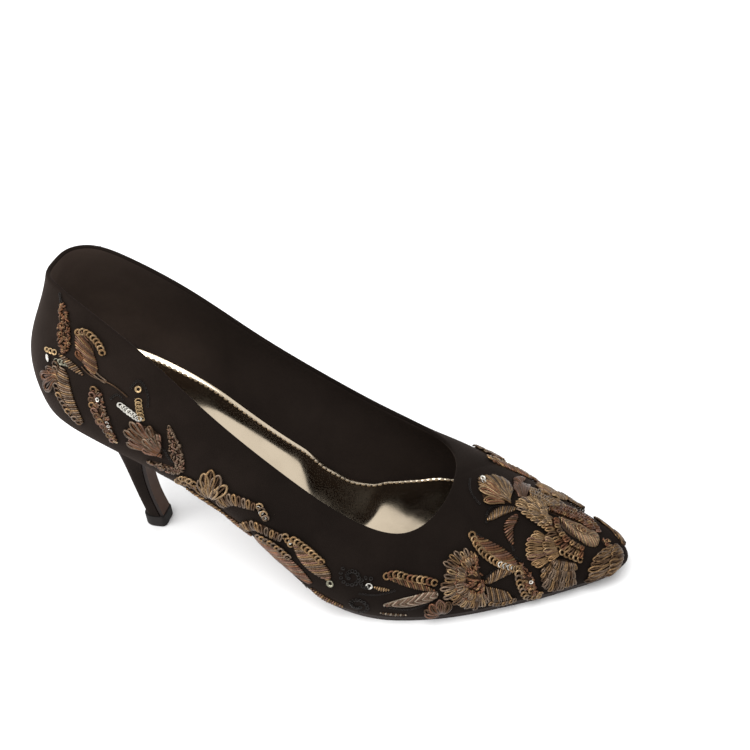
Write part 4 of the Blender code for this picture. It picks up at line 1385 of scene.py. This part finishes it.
COMB_PAD = 0.85               # share of a comb's length that is padded
COMB_OVERLAP = 1.4            # length of a tier's threads, in steps from tier to tier
LOBE_DEPTH = 0.2              # share of the length lost between the lobes of a scalloped rim
END_SPREAD = (-0.03, 0.03)    # how unevenly the tips end, as a share of the length
DRIFT_SPREAD = (-0.14, 0.14)  # how far they drift, as a share of the way between neighbours
LOOP_WIDTHS = (0.9, 1.15)     # least and most width of a loop, as shares of the usual one
LOOP_TIER_LIFT, THREAD_TIER_LIFT = 0.32 * MM, 0.3 * MM


def lobe_swell(share, lobes):
    """Share of its length that a thread keeps at its place along a scalloped rim."""
    if lobes == 0:
        return 1.0
    return 1.0 - LOBE_DEPTH * (1.0 - abs(math.sin(math.pi * lobes * share)))


def comb(panel, roots, tips, threads, bow=0.0, loop=0.0, pad=PADDING, tiers=1, core=None,
         lobes=0):
    """Threads from a line of roots to a line of tips; loops may lie in tiers, like shingles.

    With lobes, the tips run out and in along the line, so that the rim is scalloped.
    """
    root_line = panel.points(roots)
    tip_line = panel.points(tips)
    count = max(2, int(round(line_length(tip_line) / (loop * MM if loop else panel.spacing()))))
    margin = np.linspace(0.0, 1.0, MARGIN_POINTS)
    feet = smooth_line(root_line, margin)
    felt_pad(panel, feet, feet + (smooth_line(tip_line, margin) - feet) * COMB_PAD, pad)
    for tier in range(tiers):
        far = 1.0 - tier / tiers
        near = max(0.0, far - (COMB_OVERLAP / tiers if tiers > 1 else 1.0))
        shares = (np.arange(count - tier % 2) + (1.0 if tier % 2 else 0.5)) / count
        starts = smooth_line(root_line, shares)
        ends = smooth_line(tip_line, shares)
        wide = np.linalg.norm(ends[-1] - ends[0]) / max(1, len(shares) - 1) / MM
        for i, share in enumerate(shares):
            thread = threads[(i + tier) % len(threads)]
            start = starts[i] + (ends[i] - starts[i]) * near
            out = far * lobe_swell(share, lobes) + rand.uniform(*END_SPREAD)
            drift = ends[min(i + 1, len(ends) - 1)] - ends[max(i - 1, 0)]
            end = starts[i] + (ends[i] - starts[i]) * out + drift * rand.uniform(*DRIFT_SPREAD)
            _, normal = on_ground([(start + end) / 2.0])
            side = unit(np.cross(normal[0], end - start)) * panel.hand
            if loop:
                width = float(np.clip(wide, loop * LOOP_WIDTHS[0], loop * LOOP_WIDTHS[1]))
                finger(panel, start, end + side * bow * MM, width, thread, core, pad,
                       RESTING + LOOP_TIER_LIFT * tier)
            else:
                lift = SUNK + THREAD_TIER_LIFT * tier
                lay_thread(panel, [start, (start + end) / 2.0 + side * bow * MM, end], thread,
                           pad=pad, lifts=(lift, lift))


RING_POINTS = 9
RING_SPREAD = (0.9, 1.1)      # how rings differ, as shares of the usual radius
RING_ARCH = 0.8 * MM          # how far a ring rises where it leans on its neighbour


def ring_row(panel, spots, radius, threads, gap=1.5, lift=RESTING):
    """Rings of thread along a line, each leaning on the one before it."""
    count = 1 + max(1, int(round(line_length(panel.points(spots)) / (gap * MM))))
    places, heading, left = axis_frame(panel, spots, np.linspace(0.0, 1.0, count))
    turn = np.linspace(0.0, 2.0 * math.pi, RING_POINTS)[:, None]
    for i in range(count):
        size = radius * MM * rand.uniform(*RING_SPREAD)
        ring = places[i] + (np.cos(turn) * heading[i] + np.sin(turn) * left[i]) * size
        lay_thread(panel, ring, threads[i % len(threads)], lifts=(lift, lift), pad=RING_ARCH)


CHIP_LENGTH = 2.0 * MM        # of the cut purl in a bed
CHIP_SHARES = (0.01, 1.0)     # squared shares of the way out over which it is strewn
CHIP_STRAY = 50.0             # how far it strays from the ray, degrees
CHIP_BOW = (-0.3, 0.3)        # how far its middle bows, mm
CHIP_ARCH = 0.35 * MM         # how far its middle stands up
BED_PAD, BED_REACH = 0.9, 0.95     # shares of the fan that are padded, and filled
BED_HEIGHT, BED_FALL = 0.9, 0.7    # shares of the padding: at its root, and lost to its rim


def chip_bed(panel, root, rim, threads, cover=1.5, pad=PADDING):
    """Short cut purl heaped over a fan, lying roughly along its rays."""
    base = spot_point(root, panel.hand)
    edge = panel.points(rim)
    rays = edge - base
    area = np.linalg.norm(np.cross(rays[:-1], rays[1:]), axis=1).sum() / 2.0
    margin = smooth_line(base + rays * BED_PAD, np.linspace(0.0, 1.0, MARGIN_POINTS))
    felt_pad(panel, np.repeat(base[None], MARGIN_POINTS, axis=0), margin, pad)
    count = int(cover * area / (CHIP_LENGTH * 2.0 * PURL_RADIUS * panel.gauge))
    for i in range(count):
        share = BED_REACH * math.sqrt(rand.uniform(*CHIP_SHARES))
        ray = smooth_line(edge, np.array([rand.uniform()]))[0] - base
        place = base + ray * share
        _, normal = on_ground([place])
        side = unit(np.cross(normal[0], ray))
        angle = math.radians(rand.uniform(-CHIP_STRAY, CHIP_STRAY))
        reach = (unit(ray) * math.cos(angle) + side * math.sin(angle)) * CHIP_LENGTH / 2.0
        lift = RESTING + pad * (BED_HEIGHT - BED_FALL * share * share)
        lay_thread(panel, [place - reach, place + side * rand.uniform(*CHIP_BOW) * MM,
                           place + reach],
                   threads[i % len(threads)], lifts=(lift, lift), pad=CHIP_ARCH)


def cord(panel, spots, thread, radius=0.36):
    """One thread that follows a line, sewn flat."""
    lay_thread(panel, panel.points(spots), thread, pad=0.0, lifts=(RESTING, RESTING),
               radius=radius * MM)


SEQUIN_SIDES = 14
SEQUIN_SECTION = ((0.42, -0.14), (0.52, -0.02), (0.8, 0.14), (1.0, 0.18), (1.0, 0.08),
                  (0.74, 0.0), (0.46, -0.18))                       # shares of the radius


LEAN_SPREAD = (-0.16, 0.16)   # how a sequin's lean and roll differ by hand
ROLL_SPREAD = (-0.22, 0.22)
GLINT_SPREAD = (0.8, 1.15)    # how its brightness does


def sequin(panel, place, normal, heading, radius, finish, lift=0.45, lean=0.3):
    """A cupped sequin with a hole, which leans back on its neighbour."""
    lean += rand.uniform(*LEAN_SPREAD)
    roll = rand.uniform(*ROLL_SPREAD)
    across = unit(np.cross(normal, heading))
    up = unit(normal + heading * lean + across * roll)
    across = unit(np.cross(up, heading))
    ahead = np.cross(across, up)
    centre = place + normal * lift * MM
    angle = np.arange(SEQUIN_SIDES) * 2.0 * np.pi / SEQUIN_SIDES
    rings = []
    for share, rise in SEQUIN_SECTION:
        r = share * radius * MM
        rings.append(centre + np.cos(angle)[:, None] * ahead * r
                     + np.sin(angle)[:, None] * across * r + up * rise * radius * MM)
    verts = np.concatenate(rings)
    index = np.arange(len(verts)).reshape(len(rings), SEQUIN_SIDES)
    far = np.roll(index, -1, axis=0)
    quads = np.stack([index, np.roll(index, -1, axis=1), np.roll(far, -1, axis=1), far],
                     axis=-1).reshape(-1, 4)
    panel.add(verts, list(quads), finish, rand.uniform(*GLINT_SPREAD))


LONE_AXIS = (0.3, 0.2, 1.0)   # a lone sequin leans square to this
LONE_LEAN = 0.12              # and less than one in a row


def sequin_row(panel, spots, radius, finish, gap=1.25, lift=0.45):
    """Sequins that overlap along a line; a line of one spot is a single sequin."""
    points = panel.points(spots)
    if len(points) == 1:
        places, normals = on_ground(points)
        heading = unit(np.cross(normals[0], LONE_AXIS))
        sequin(panel, places[0], normals[0], heading, radius, finish, lift, LONE_LEAN)
        return
    count = max(2, int(round(line_length(points) / (gap * MM))) + 1)
    places, normals = on_ground(smooth_line(points, np.linspace(0.0, 1.0, count)))
    headings = unit(np.gradient(places, axis=0))
    for place, normal, heading in zip(places, normals, headings):
        sequin(panel, place, normal, heading, radius, finish, lift)


def scatter(panel, *rows):
    """Rows of sequins: spots, radius, finish, then the gap and the lift where they differ."""
    for row in rows:
        sequin_row(panel, *row)


WHORL_GRAIN = 0.8             # radius of its sequins, mm
WHORL_PITCH = 1.25 * MM       # from sequin to sequin
WHORL_MEAN = 0.62             # mean radius of a whorl as a share of its outer one
WHORL_CLOSING = 0.75          # share of the radius that is lost from its start to its middle


def whorl(panel, spot, radius, finish, turns, start):
    """A curl of small sequins that winds in to its middle."""
    centre, normal = on_ground(panel.points([spot]))
    ahead = unit(np.cross((0.0, 1.0, 0.0), normal[0]))
    across = np.cross(normal[0], ahead) * panel.hand
    length = 2.0 * math.pi * turns * radius * MM * WHORL_MEAN
    count = int(length / WHORL_PITCH)
    for i in range(count):
        share = i / count
        angle = start + 2.0 * math.pi * turns * share
        r = radius * MM * (1.0 - WHORL_CLOSING * share)
        point = centre[0] + ahead * math.cos(angle) * r + across * math.sin(angle) * r
        place, out = on_ground([point])
        heading = unit(-ahead * math.sin(angle) + across * math.cos(angle))
        sequin(panel, place[0], out[0], heading, WHORL_GRAIN, finish)


# --------------------------------------------------------- motifs, by panel
def sew_quarter(panel, spangles):
    """The sprig on the quarter: upright leaf, plume, two hanging leaves, shell and forked leaf."""
    chip_leaf(panel, ((11.5, 60), (11, 74), (10.3, 93)), 6.2,
              ("rust", "copper", "bronze", "rust", "gold"), 0.4)
    sequin_row(spangles, ((10.1, 91), (9.8, 97)), 0.6, "jet", 0.9)
    laid_leaf(panel, ((14.3, 82), (14.6, 71), (16, 60)), 7.4, 50,
              ("rose", "bronze", "copper", "gold"), 0.36)
    ring_row(panel, ((13.4, 81), (14.3, 84), (15.6, 84.5), (16.8, 82), (17.3, 79)), 1.0,
             ("gold", "cream", "gold"), 1.6)
    finger(panel, *panel.points(((14.6, 64), (13.3, 69))), 2.4, "rust")
    cord(panel, ((14.2, 60), (16, 58.5), (18, 61), (19.6, 62), (21.6, 61)), "bronze", 0.38)
    cord(panel, ((15.3, 66), (16.8, 62.5), (18.2, 62)), "pewter", 0.4)
    cord(panel, ((14.8, 62), (16.2, 60), (18, 60)), "pewter", 0.4)
    laid_leaf(panel, ((10.6, 58), (12.6, 56), (14.6, 55)), 3.4, 30,
              ("bronze", "gold", "pewter"), pad=0.4 * MM)
    finger_fan(panel, (11.2, 46), ((8.9, 41), (8, 31), (8.7, 23)), 2.8,
               ("bronze", "rust"), "rust", pad=0.5 * MM)
    laid_leaf(panel, ((11.4, 51), (11.8, 39), (12.9, 28), (14.6, 18)), 6.6, 18,
              ("pewter", "bronze", "pewter", "gold"), 0.3)
    ring_row(panel, ((10.5, 50), (10.7, 38), (11.8, 26), (14, 17)), 1.25,
             ("bronze", "pewter", "bronze", "gold"), 1.8)
    chip_leaf(panel, ((17, 54), (16.9, 42), (18, 31), (19.6, 18)), 6.4,
              ("bronze", "rose", "copper", "pewter"), 0.36)
    ring_row(panel, ((16.4, 51), (16.2, 42), (17.4, 31), (19.2, 19)), 1.2,
             ("gold", "rose", "bronze"), 2.2)
    # shell on its stalk
    panel.gauge = 1.1
    comb(panel, ((26.6, 31), (27.2, 36), (26.9, 40)),
         ((21.3, 23), (20.9, 32), (21.4, 42), (23.1, 49), (25.2, 52), (27.2, 51)),
         ("pewter", "rose", "pewter", "bronze"), loop=2.5, tiers=2, core="rust", lobes=6)
    panel.gauge = 1.0
    chip_leaf(panel, ((21.8, 24), (24, 28), (27.4, 33)), 3.0, ("rust", "copper", "rose"))
    chip_leaf(panel, ((30.2, 29), (29.5, 45), (28.3, 62)), 5.4,
              ("pewter", "bronze", "pewter", "rose"), 0.4)
    cord(panel, ((30.6, 44), (29.6, 56), (28.3, 63), (28.2, 52)), "pewter", 0.36)
    chip_leaf(panel, ((30, 28), (27.3, 20), (24.4, 16)), 4.4,
              ("pewter", "bronze", "rose", "pewter"), 0.45)
    laid_leaf(panel, ((34.2, 24), (32.8, 22), (31.4, 18)), 3.4, 40, ("pewter", "rose"))
    chip_leaf(panel, ((29.6, 12), (31, 17), (33, 20)), 2.6, ("gold", "bronze"))
    ring_row(panel, ((29.2, 13), (30.2, 22), (32.2, 26)), 1.25, ("cream", "gold"), 1.8)
    panel.gauge = 1.15
    finger_fan(panel, (34.8, 20),
               ((32.4, 26), (33.2, 36), (34.2, 47), (35.6, 56), (37, 57), (38.3, 53)), 2.7,
               ("gold", "pewter", "cream"), "bronze", tiers=2)
    panel.gauge = 1.0
    # spangles: white and gilt cups, a grey-green pair, and fine jet curls
    scatter(
        spangles,
        (((8.9, 49),), 1.5, "pearl"),
        (((8.6, 54), (9.9, 56.5)), 1.2, "gilt", 1.7),
        (((10.5, 52), (12.2, 56)), 1.3, "moss", 1.6),
        (((17.1, 46),), 0.9, "pearl", 1.25, 1.3),
        (((17.2, 29),), 1.4, "rose", 1.25, 0.9),
        (((18.6, 33), (19, 28)), 0.8, "pearl", 1.5, 1.1),
        (((19.2, 23), (19.6, 19)), 1.0, "gilt", 1.7, 0.9),
        (((20.5, 52), (21.8, 51.4), (23.4, 51)), 1.35, "pearl", 1.5),
        (((23.2, 72),), 1.3, "gilt"),
        (((23.3, 64), (23.5, 58), (23.9, 53)), 1.4, "gilt", 1.45),
        (((19, 52), (20, 58), (20.8, 57)), 0.5, "jet", 1.0),
        (((22, 69), (23.2, 78), (24.6, 75), (24.8, 65)), 0.5, "jet", 1.0),
        (((25.2, 41), (26.2, 38)), 0.7, "pearl", 1.6, 1.4),
        (((27.6, 40), (29, 34), (30.4, 40)), 0.5, "jet", 1.0))


def sew_waist(panel, spangles):
    """The garland along the waist: tailed fans, purl leaf, ladder fan and edge leaves."""
    panel.gauge = 1.1
    laid_leaf(panel, ((30.2, 7), (33.5, 7), (37, 7)), 2.4, 50, ("gold", "bronze"))
    comb(panel, ((37.4, 20), (39, 33), (41, 41), (43, 48)),
         ((35.9, 25), (37.6, 43), (40, 52), (43.4, 59)), ("pewter", "gold", "bronze"),
         loop=2.2, core="bronze")
    laid_leaf(panel, ((36.5, 6), (39, 8), (42, 10)), 2.6, 50, ("rose", "gold", "bronze"))
    comb(panel, ((41.6, 13), (43.3, 27), (45.5, 33), (47.6, 39)),
         ((39.8, 17), (42, 36), (44.6, 44), (48.2, 51)), ("pewter", "gold", "bronze"),
         loop=2.2, core="bronze")
    laid_leaf(panel, ((43.4, 17), (48, 20), (52.6, 18)), 8.0, 62,
              ("rose", "pewter", "copper", "rose"), 0.45)
    ring_row(panel, ((43.6, 24), (46.4, 31), (49, 32)), 1.1, ("pewter", "gold"), 1.7)
    laid_leaf(panel, ((49.4, 51), (52.2, 45), (55.8, 36)), 7.2, 35,
              ("gold", "pewter", "bronze", "rose"), 0.62)
    ring_row(panel, ((49.8, 53), (52, 53), (54.4, 50)), 1.1, ("gold", "cream"), 1.7)
    laid_leaf(panel, ((53, 12), (55.5, 8), (58.4, 7)), 3.0, 15, ("bronze", "rose", "gold"))
    panel.gauge = 1.0
    laid_leaf(panel, ((62.2, 45), (63.3, 43.5), (64.4, 43.5)), 1.9, 10, ("cream", "gold"),
              pad=0.3 * MM)
    laid_leaf(panel, ((64.2, 56), (67, 50), (70.1, 36)), 3.4, -38,
              ("copper", "gold", "bronze"), 0.45)
    panel.gauge = 0.8
    veined_leaf(panel, ((63.8, 24), (67, 28), (70.4, 32)), 5.0, 62,
                ("silver", "rose", "pewter", "bronze"), pad=0.7 * MM)
    panel.gauge = 1.0
    cord(panel, ((63.8, 24), (66.4, 33), (70.4, 34)), "silver", 0.36)
    cord(panel, ((63.8, 24), (67.4, 22), (70.4, 31)), "silver", 0.36)
    laid_leaf(panel, ((63.4, 10), (65, 7.5), (66.8, 7)), 1.5, 20, ("silver", "bronze"),
              pad=0.2 * MM)
    finger_fan(panel, (70.9, 4),
               ((68.8, 9), (68.8, 16), (69.5, 23), (70.6, 26), (71.8, 22)), 2.6,
               ("rose", "bronze", "copper"), "bronze")
    sequin_row(spangles, ((43.7, 56), (44.7, 51)), 1.0, "pearl", 1.9, 1.0)
    ring_row(panel, ((43.9, 58), (45, 52)), 1.2, ("cream", "pewter"), 1.7)
    ring_row(panel, ((48.4, 50), (49.4, 47)), 1.2, ("cream", "gold"), 1.5)
    scatter(
        spangles,
        (((49.2, 48),), 0.8, "pearl", 1.25, 1.0),
        (((56.1, 33),), 1.5, "moss"),
        (((52, 7),), 1.3, "pearl"),
        (((61.6, 45),), 1.4, "pearl"))
    ring_row(panel, ((63.8, 59), (65.2, 61), (67, 56), (68.4, 52), (70, 45)), 1.25,
             ("gold", "copper", "gold", "cream"), 1.8)
    whorl(spangles, (59, 49), 4.4, "jet", 1.3, 2.6)
    whorl(spangles, (60.4, 17), 4.6, "jet", 1.2, 1.6)
    whorl(spangles, (61.2, 46), 3.0, "jet", 0.8, 1.2)
    scatter(
        spangles,
        (((60.5, 34), (62.5, 36), (65, 43)), 0.5, "jet", 1.1),
        (((64, 22), (67, 17), (70, 27)), 0.5, "jet", 1.1))


def sew_vamp(panel, spangles):
    """Each side of the vamp: shell flower, leaves, crescent and the petals round the toe."""
    # shell flower: a lobed rim of loops in tiers, and a heart of cut purl
    comb(panel, ((75.9, 45), (75, 43), (74.4, 37), (74.6, 30), (75.4, 25), (76.4, 24)),
         ((76.3, 48), (75.4, 57), (73.9, 62), (72.1, 64), (71, 59), (71, 48), (70.4, 37),
          (71, 25), (72.6, 14), (74, 6), (75.8, 4), (77.2, 10)),
         ("pewter", "gold", "bronze", "pewter", "cream"), loop=2.1, tiers=2, core="bronze",
         lobes=11)
    chip_bed(panel, (76.4, 35),
             ((76.2, 54), (74.6, 56), (73, 53), (72.3, 43), (72.2, 33), (72.8, 23),
              (74.4, 14), (76.6, 15)),
             ("copper", "gold", "rust", "rose", "gold", "copper"), pad=1.5 * MM, cover=1.8)
    laid_leaf(panel, ((76.8, 29), (79.5, 32.5), (82.5, 33)), 4.2, 42,
              ("gold", "bronze", "pewter"))
    comb(panel, ((76.8, 26), (78.6, 21), (80.2, 15)), ((76.9, 9), (78.6, 4), (81, 5)),
         ("pewter", "bronze", "gold"))
    ring_row(panel, ((77.3, 8), (78.6, 4.5), (81, 5.5)), 0.75, ("gold", "pewter"), 1.35)
    # copper leaf and right leaf: strands that end in rings
    panel.gauge = 1.35
    laid_leaf(panel, ((77.2, 63), (80.7, 51), (83.4, 37)), 5.6, 50,
              ("copper", "rust", "gold", "copper", "rose"), 0.45, bow=0.8)
    panel.gauge = 1.1
    chip_leaf(panel, ((84, 40), (84, 22), (84.6, 5)), 5.2,
              ("copper", "rust", "rose", "gold"), 0.45, cover=2.2)
    laid_leaf(panel, ((87.6, 83), (85.6, 69), (84.6, 54)), 4.2, -38,
              ("copper", "rose", "bronze"), 0.45)
    ring_row(panel, ((76.5, 64), (77.3, 54), (79.2, 45), (81.2, 38.5), (83, 35)), 1.2,
             ("gold", "cream", "gold"), 1.7)
    ring_row(panel, ((83.4, 35), (82.7, 27), (82.6, 15), (83.2, 6), (85.2, 4)), 1.15,
             ("gold", "cream", "pewter"), 1.9)
    ring_row(panel, ((83.4, 22), (84.2, 12), (85.4, 6)), 1.1, ("gold", "copper"), 2.2)
    # the petals of the toe flower, ruffled like feathers
    panel.gauge = 0.9
    comb(panel, ((90.4, 63), (90.6, 55), (90.3, 46)),
         ((88.5, 70), (87, 60), (85.9, 52), (85.4, 44), (85.9, 33)),
         ("gold", "cream", "rose", "gold"), loop=2.0, tiers=2, core="gold")
    comb(panel, ((89, 43), (90.4, 42), (91.7, 38)),
         ((86.4, 32), (85.8, 20), (86.2, 9), (87.6, 5), (89.3, 5), (91, 8)),
         ("pewter", "gold", "bronze", "pewter"), bow=0.5, loop=1.9, tiers=3, core="bronze")
    reach, rise = (62, PADDING) if panel.hand > 0 else (38, LOW_PADDING)
    comb(panel, ((99.8, reach - 8), (99.7, 40), (99, 25), (97.6, 14)),
         ((98.4, reach), (96.4, reach - 5), (94.6, 44), (93.6, 31), (93.3, 20), (92, 8)),
         ("gold", "bronze", "gold", "pewter"), bow=0.8, loop=1.95, tiers=2, core="bronze",
         pad=rise)
    panel.gauge = 1.0
    chip_leaf(panel, ((93.4, 8), (95.6, 6.5), (97.6, 13)), 2.6, ("rust", "bronze"), 0.5)
    scatter(
        spangles,
        (((80.6, 40), (82, 37)), 1.2, "pearl", 1.6, 1.3),
        (((84.4, 22),), 0.8, "pearl", 1.25, 1.2),
        (((86.8, 79), (84.8, 64), (84.2, 50)), 0.5, "jet", 1.0),
        (((77, 66), (81, 56), (84.4, 41)), 0.5, "jet", 1.0),
        (((77, 32), (79.5, 37), (82.4, 38)), 0.5, "jet", 1.0))


def sew_toe(panel, spangles):
    """Down the middle of the vamp: tulip, far petal, eye flower and its feathers."""
    comb(panel, ((87.8, 94), (87.8, 98)),
         ((84.6, 96), (83.4, 108), (83.1, 119), (84.6, 125), (87, 114)),
         ("cream", "gold", "pewter", "bronze"), tiers=2)
    finger_fan(panel, (87.3, 94), ((84, 109), (84.4, 98), (84, 87)), 2.5, ("gold", "cream"),
               "copper")
    laid_leaf(panel, ((82.8, 72), (85.5, 81), (88.2, 90)), 3.8, 40, ("gold", "pewter"))
    comb(panel, ((88.4, 107), (88.7, 111)), ((86.8, 116), (85.6, 128), (86.4, 139)),
         ("rose", "bronze"))
    comb(panel, ((89, 114), (90.4, 109), (91.5, 110)),
         ((86.8, 128), (88.2, 137), (90.4, 137), (92.4, 130)), ("pewter", "cream", "gold"),
         loop=1.9, tiers=3, pad=LOW_PADDING)
    comb(panel, ((92.2, 101), (93.6, 104), (95.8, 109), (97.4, 106)),
         ((91.2, 112), (91.4, 126), (93.2, 137), (96, 136), (98.4, 124)),
         ("copper", "rust", "gold", "rust", "rose"), loop=1.9, tiers=3, pad=LOW_PADDING)
    comb(panel, ((91.6, 82), (92, 88), (91.9, 94), (91.9, 99)),
         ((89.8, 73), (88.8, 80), (88, 88), (88.2, 97), (88.6, 107), (89, 116), (90.6, 119)),
         ("gold", "cream", "pewter", "cream"), loop=1.95, tiers=3, core="gold")
    panel.gauge = 1.1
    comb(panel, ((93.8, 97), (93.1, 86), (93, 77), (93.5, 69), (94.8, 62)),
         ((91.2, 93), (90.5, 84), (90, 75), (89.8, 66), (90.1, 57), (91.2, 48), (92.9, 42)),
         ("gold", "rust", "copper", "gold", "bronze"), loop=2.2, tiers=2, core="rust")
    ring_row(panel, ((89.7, 64), (90, 56), (91.1, 47), (92.8, 41.5)), 1.0,
             ("gold", "cream", "gold"), 2.0)
    panel.gauge = FINE
    veined_leaf(panel, ((93.5, 98), (95.9, 91), (98.1, 80)), 9.4, 48,
                ("pewter", "cream", "rose", "cream"), 0.5, pad=1.5 * MM)
    for size, thread in ((1.6, "cream"), (1.0, "rust"), (0.4, "gold")):
        ring_row(panel, ((95.7, 92), (96, 90)), size, (thread,), 4.0, 1.6 * MM)
    panel.gauge = 0.9
    comb(panel, ((99.7, 62), (99.8, 74)), ((97.7, 61), (98.4, 71), (98.9, 81)),
         ("copper", "gold"), loop=1.6, tiers=2)
    scatter(
        spangles,
        (((83.7, 110), (84.3, 107)), 1.1, "pearl", 1.2, 1.3),
        (((82.7, 105), (82.9, 93), (83.2, 84)), 0.5, "jet", 1.0),
        (((82.4, 70), (84.4, 82), (86.6, 88)), 0.5, "jet", 1.0))


sides = {1: "outer", -1: "inner"}
spangles = {hand: Panel(f"sequins_{side}", hand) for hand, side in sides.items()}
panels = []
for hand, side in sides.items():
    for part, sew in (("quarter", sew_quarter), ("waist", sew_waist), ("vamp", sew_vamp)):
        panels.append(Panel(f"{part}_embroidery_{side}", hand))
        sew(panels[-1], spangles[hand])
panels.append(Panel("toe_embroidery", 1))
sew_toe(panels[-1], spangles[1])
for panel in (*panels, *spangles.values()):
    panel.sew()

# -------------------------------------------------------- floor, light, camera
SHOE_MIDDLE = Vector((0.0, 0.0, 0.05))
FLOOR_REACH = 3.0             # from the shoe to the edge of the floor
AIR_LIGHT = 1.08              # strength of the light that comes from all round
floor_mesh = bpy.data.meshes.new("studio_floor")
floor_mesh.from_pydata([(x * FLOOR_REACH, y * FLOOR_REACH, 0.0)
                        for x, y in ((-1, -1), (1, -1), (1, 1), (-1, 1))], [], [(0, 1, 2, 3)])
floor = bpy.data.objects.new("studio_floor", floor_mesh)
bpy.context.scene.collection.objects.link(floor)
floor_mesh.materials.append(Finish("pale_floor", base_color=(0.86, 0.86, 0.86), roughness=0.7,
                                   specular_ior_level=0.2).material)

world = bpy.data.worlds.new("studio_air")
bpy.context.scene.world = world
world.use_nodes = True
air = world.node_tree.nodes["Background"].inputs
air["Color"].default_value = (1.0, 1.0, 1.0, 1.0)
air["Strength"].default_value = AIR_LIGHT


def softbox(name, at, size, power):
    """A square studio light that points at the shoe."""
    data = bpy.data.lights.new(name, "AREA")
    data.shape = "RECTANGLE"
    data.size = data.size_y = size
    data.energy = power
    lamp = bpy.data.objects.new(name, data)
    lamp.location = at
    lamp.rotation_euler = (SHOE_MIDDLE - Vector(at)).to_track_quat("-Z", "Y").to_euler()
    bpy.context.scene.collection.objects.link(lamp)


softbox("overhead_softbox", (-0.1, -0.5, 1.1), 0.9, 12.0)
softbox("side_softbox", (-0.9, -0.55, 0.5), 0.7, 7.0)

# The camera stands on the outer side, above the shoe and a little towards its toe.
CAMERA_YAW, CAMERA_PITCH, CAMERA_ROLL = 0.3076, -0.6155, 0.1136
CAMERA_PIVOT = np.array([120.0, 0.0, 40.0]) * MM + MOVE
PIVOT_IN_VIEW = Vector((-12.8994, 441.7206, -42.6092)) * MM      # right, ahead, up
LENS, SENSOR = 52.345, 36.0
FRAME_SHIFT = (0.0162, -0.0168)
turn = (Matrix.Rotation(CAMERA_YAW, 3, "Z") @ Matrix.Rotation(CAMERA_PITCH, 3, "X")
        @ Matrix.Rotation(CAMERA_ROLL, 3, "Y"))
right, ahead, upward = turn.col
camera_data = bpy.data.cameras.new("studio_camera")
camera_data.lens = LENS
camera_data.sensor_width = SENSOR
camera_data.shift_x, camera_data.shift_y = FRAME_SHIFT
camera = bpy.data.objects.new("studio_camera", camera_data)
camera.matrix_world = Matrix.LocRotScale(
    Vector(CAMERA_PIVOT) - turn @ PIVOT_IN_VIEW,
    Matrix((right, upward, -ahead)).transposed().to_quaternion(), None)
bpy.context.scene.collection.objects.link(camera)
bpy.context.scene.camera = camera

bpy.context.scene.view_settings.view_transform = "Standard"

bpy.context.view_layer.update()
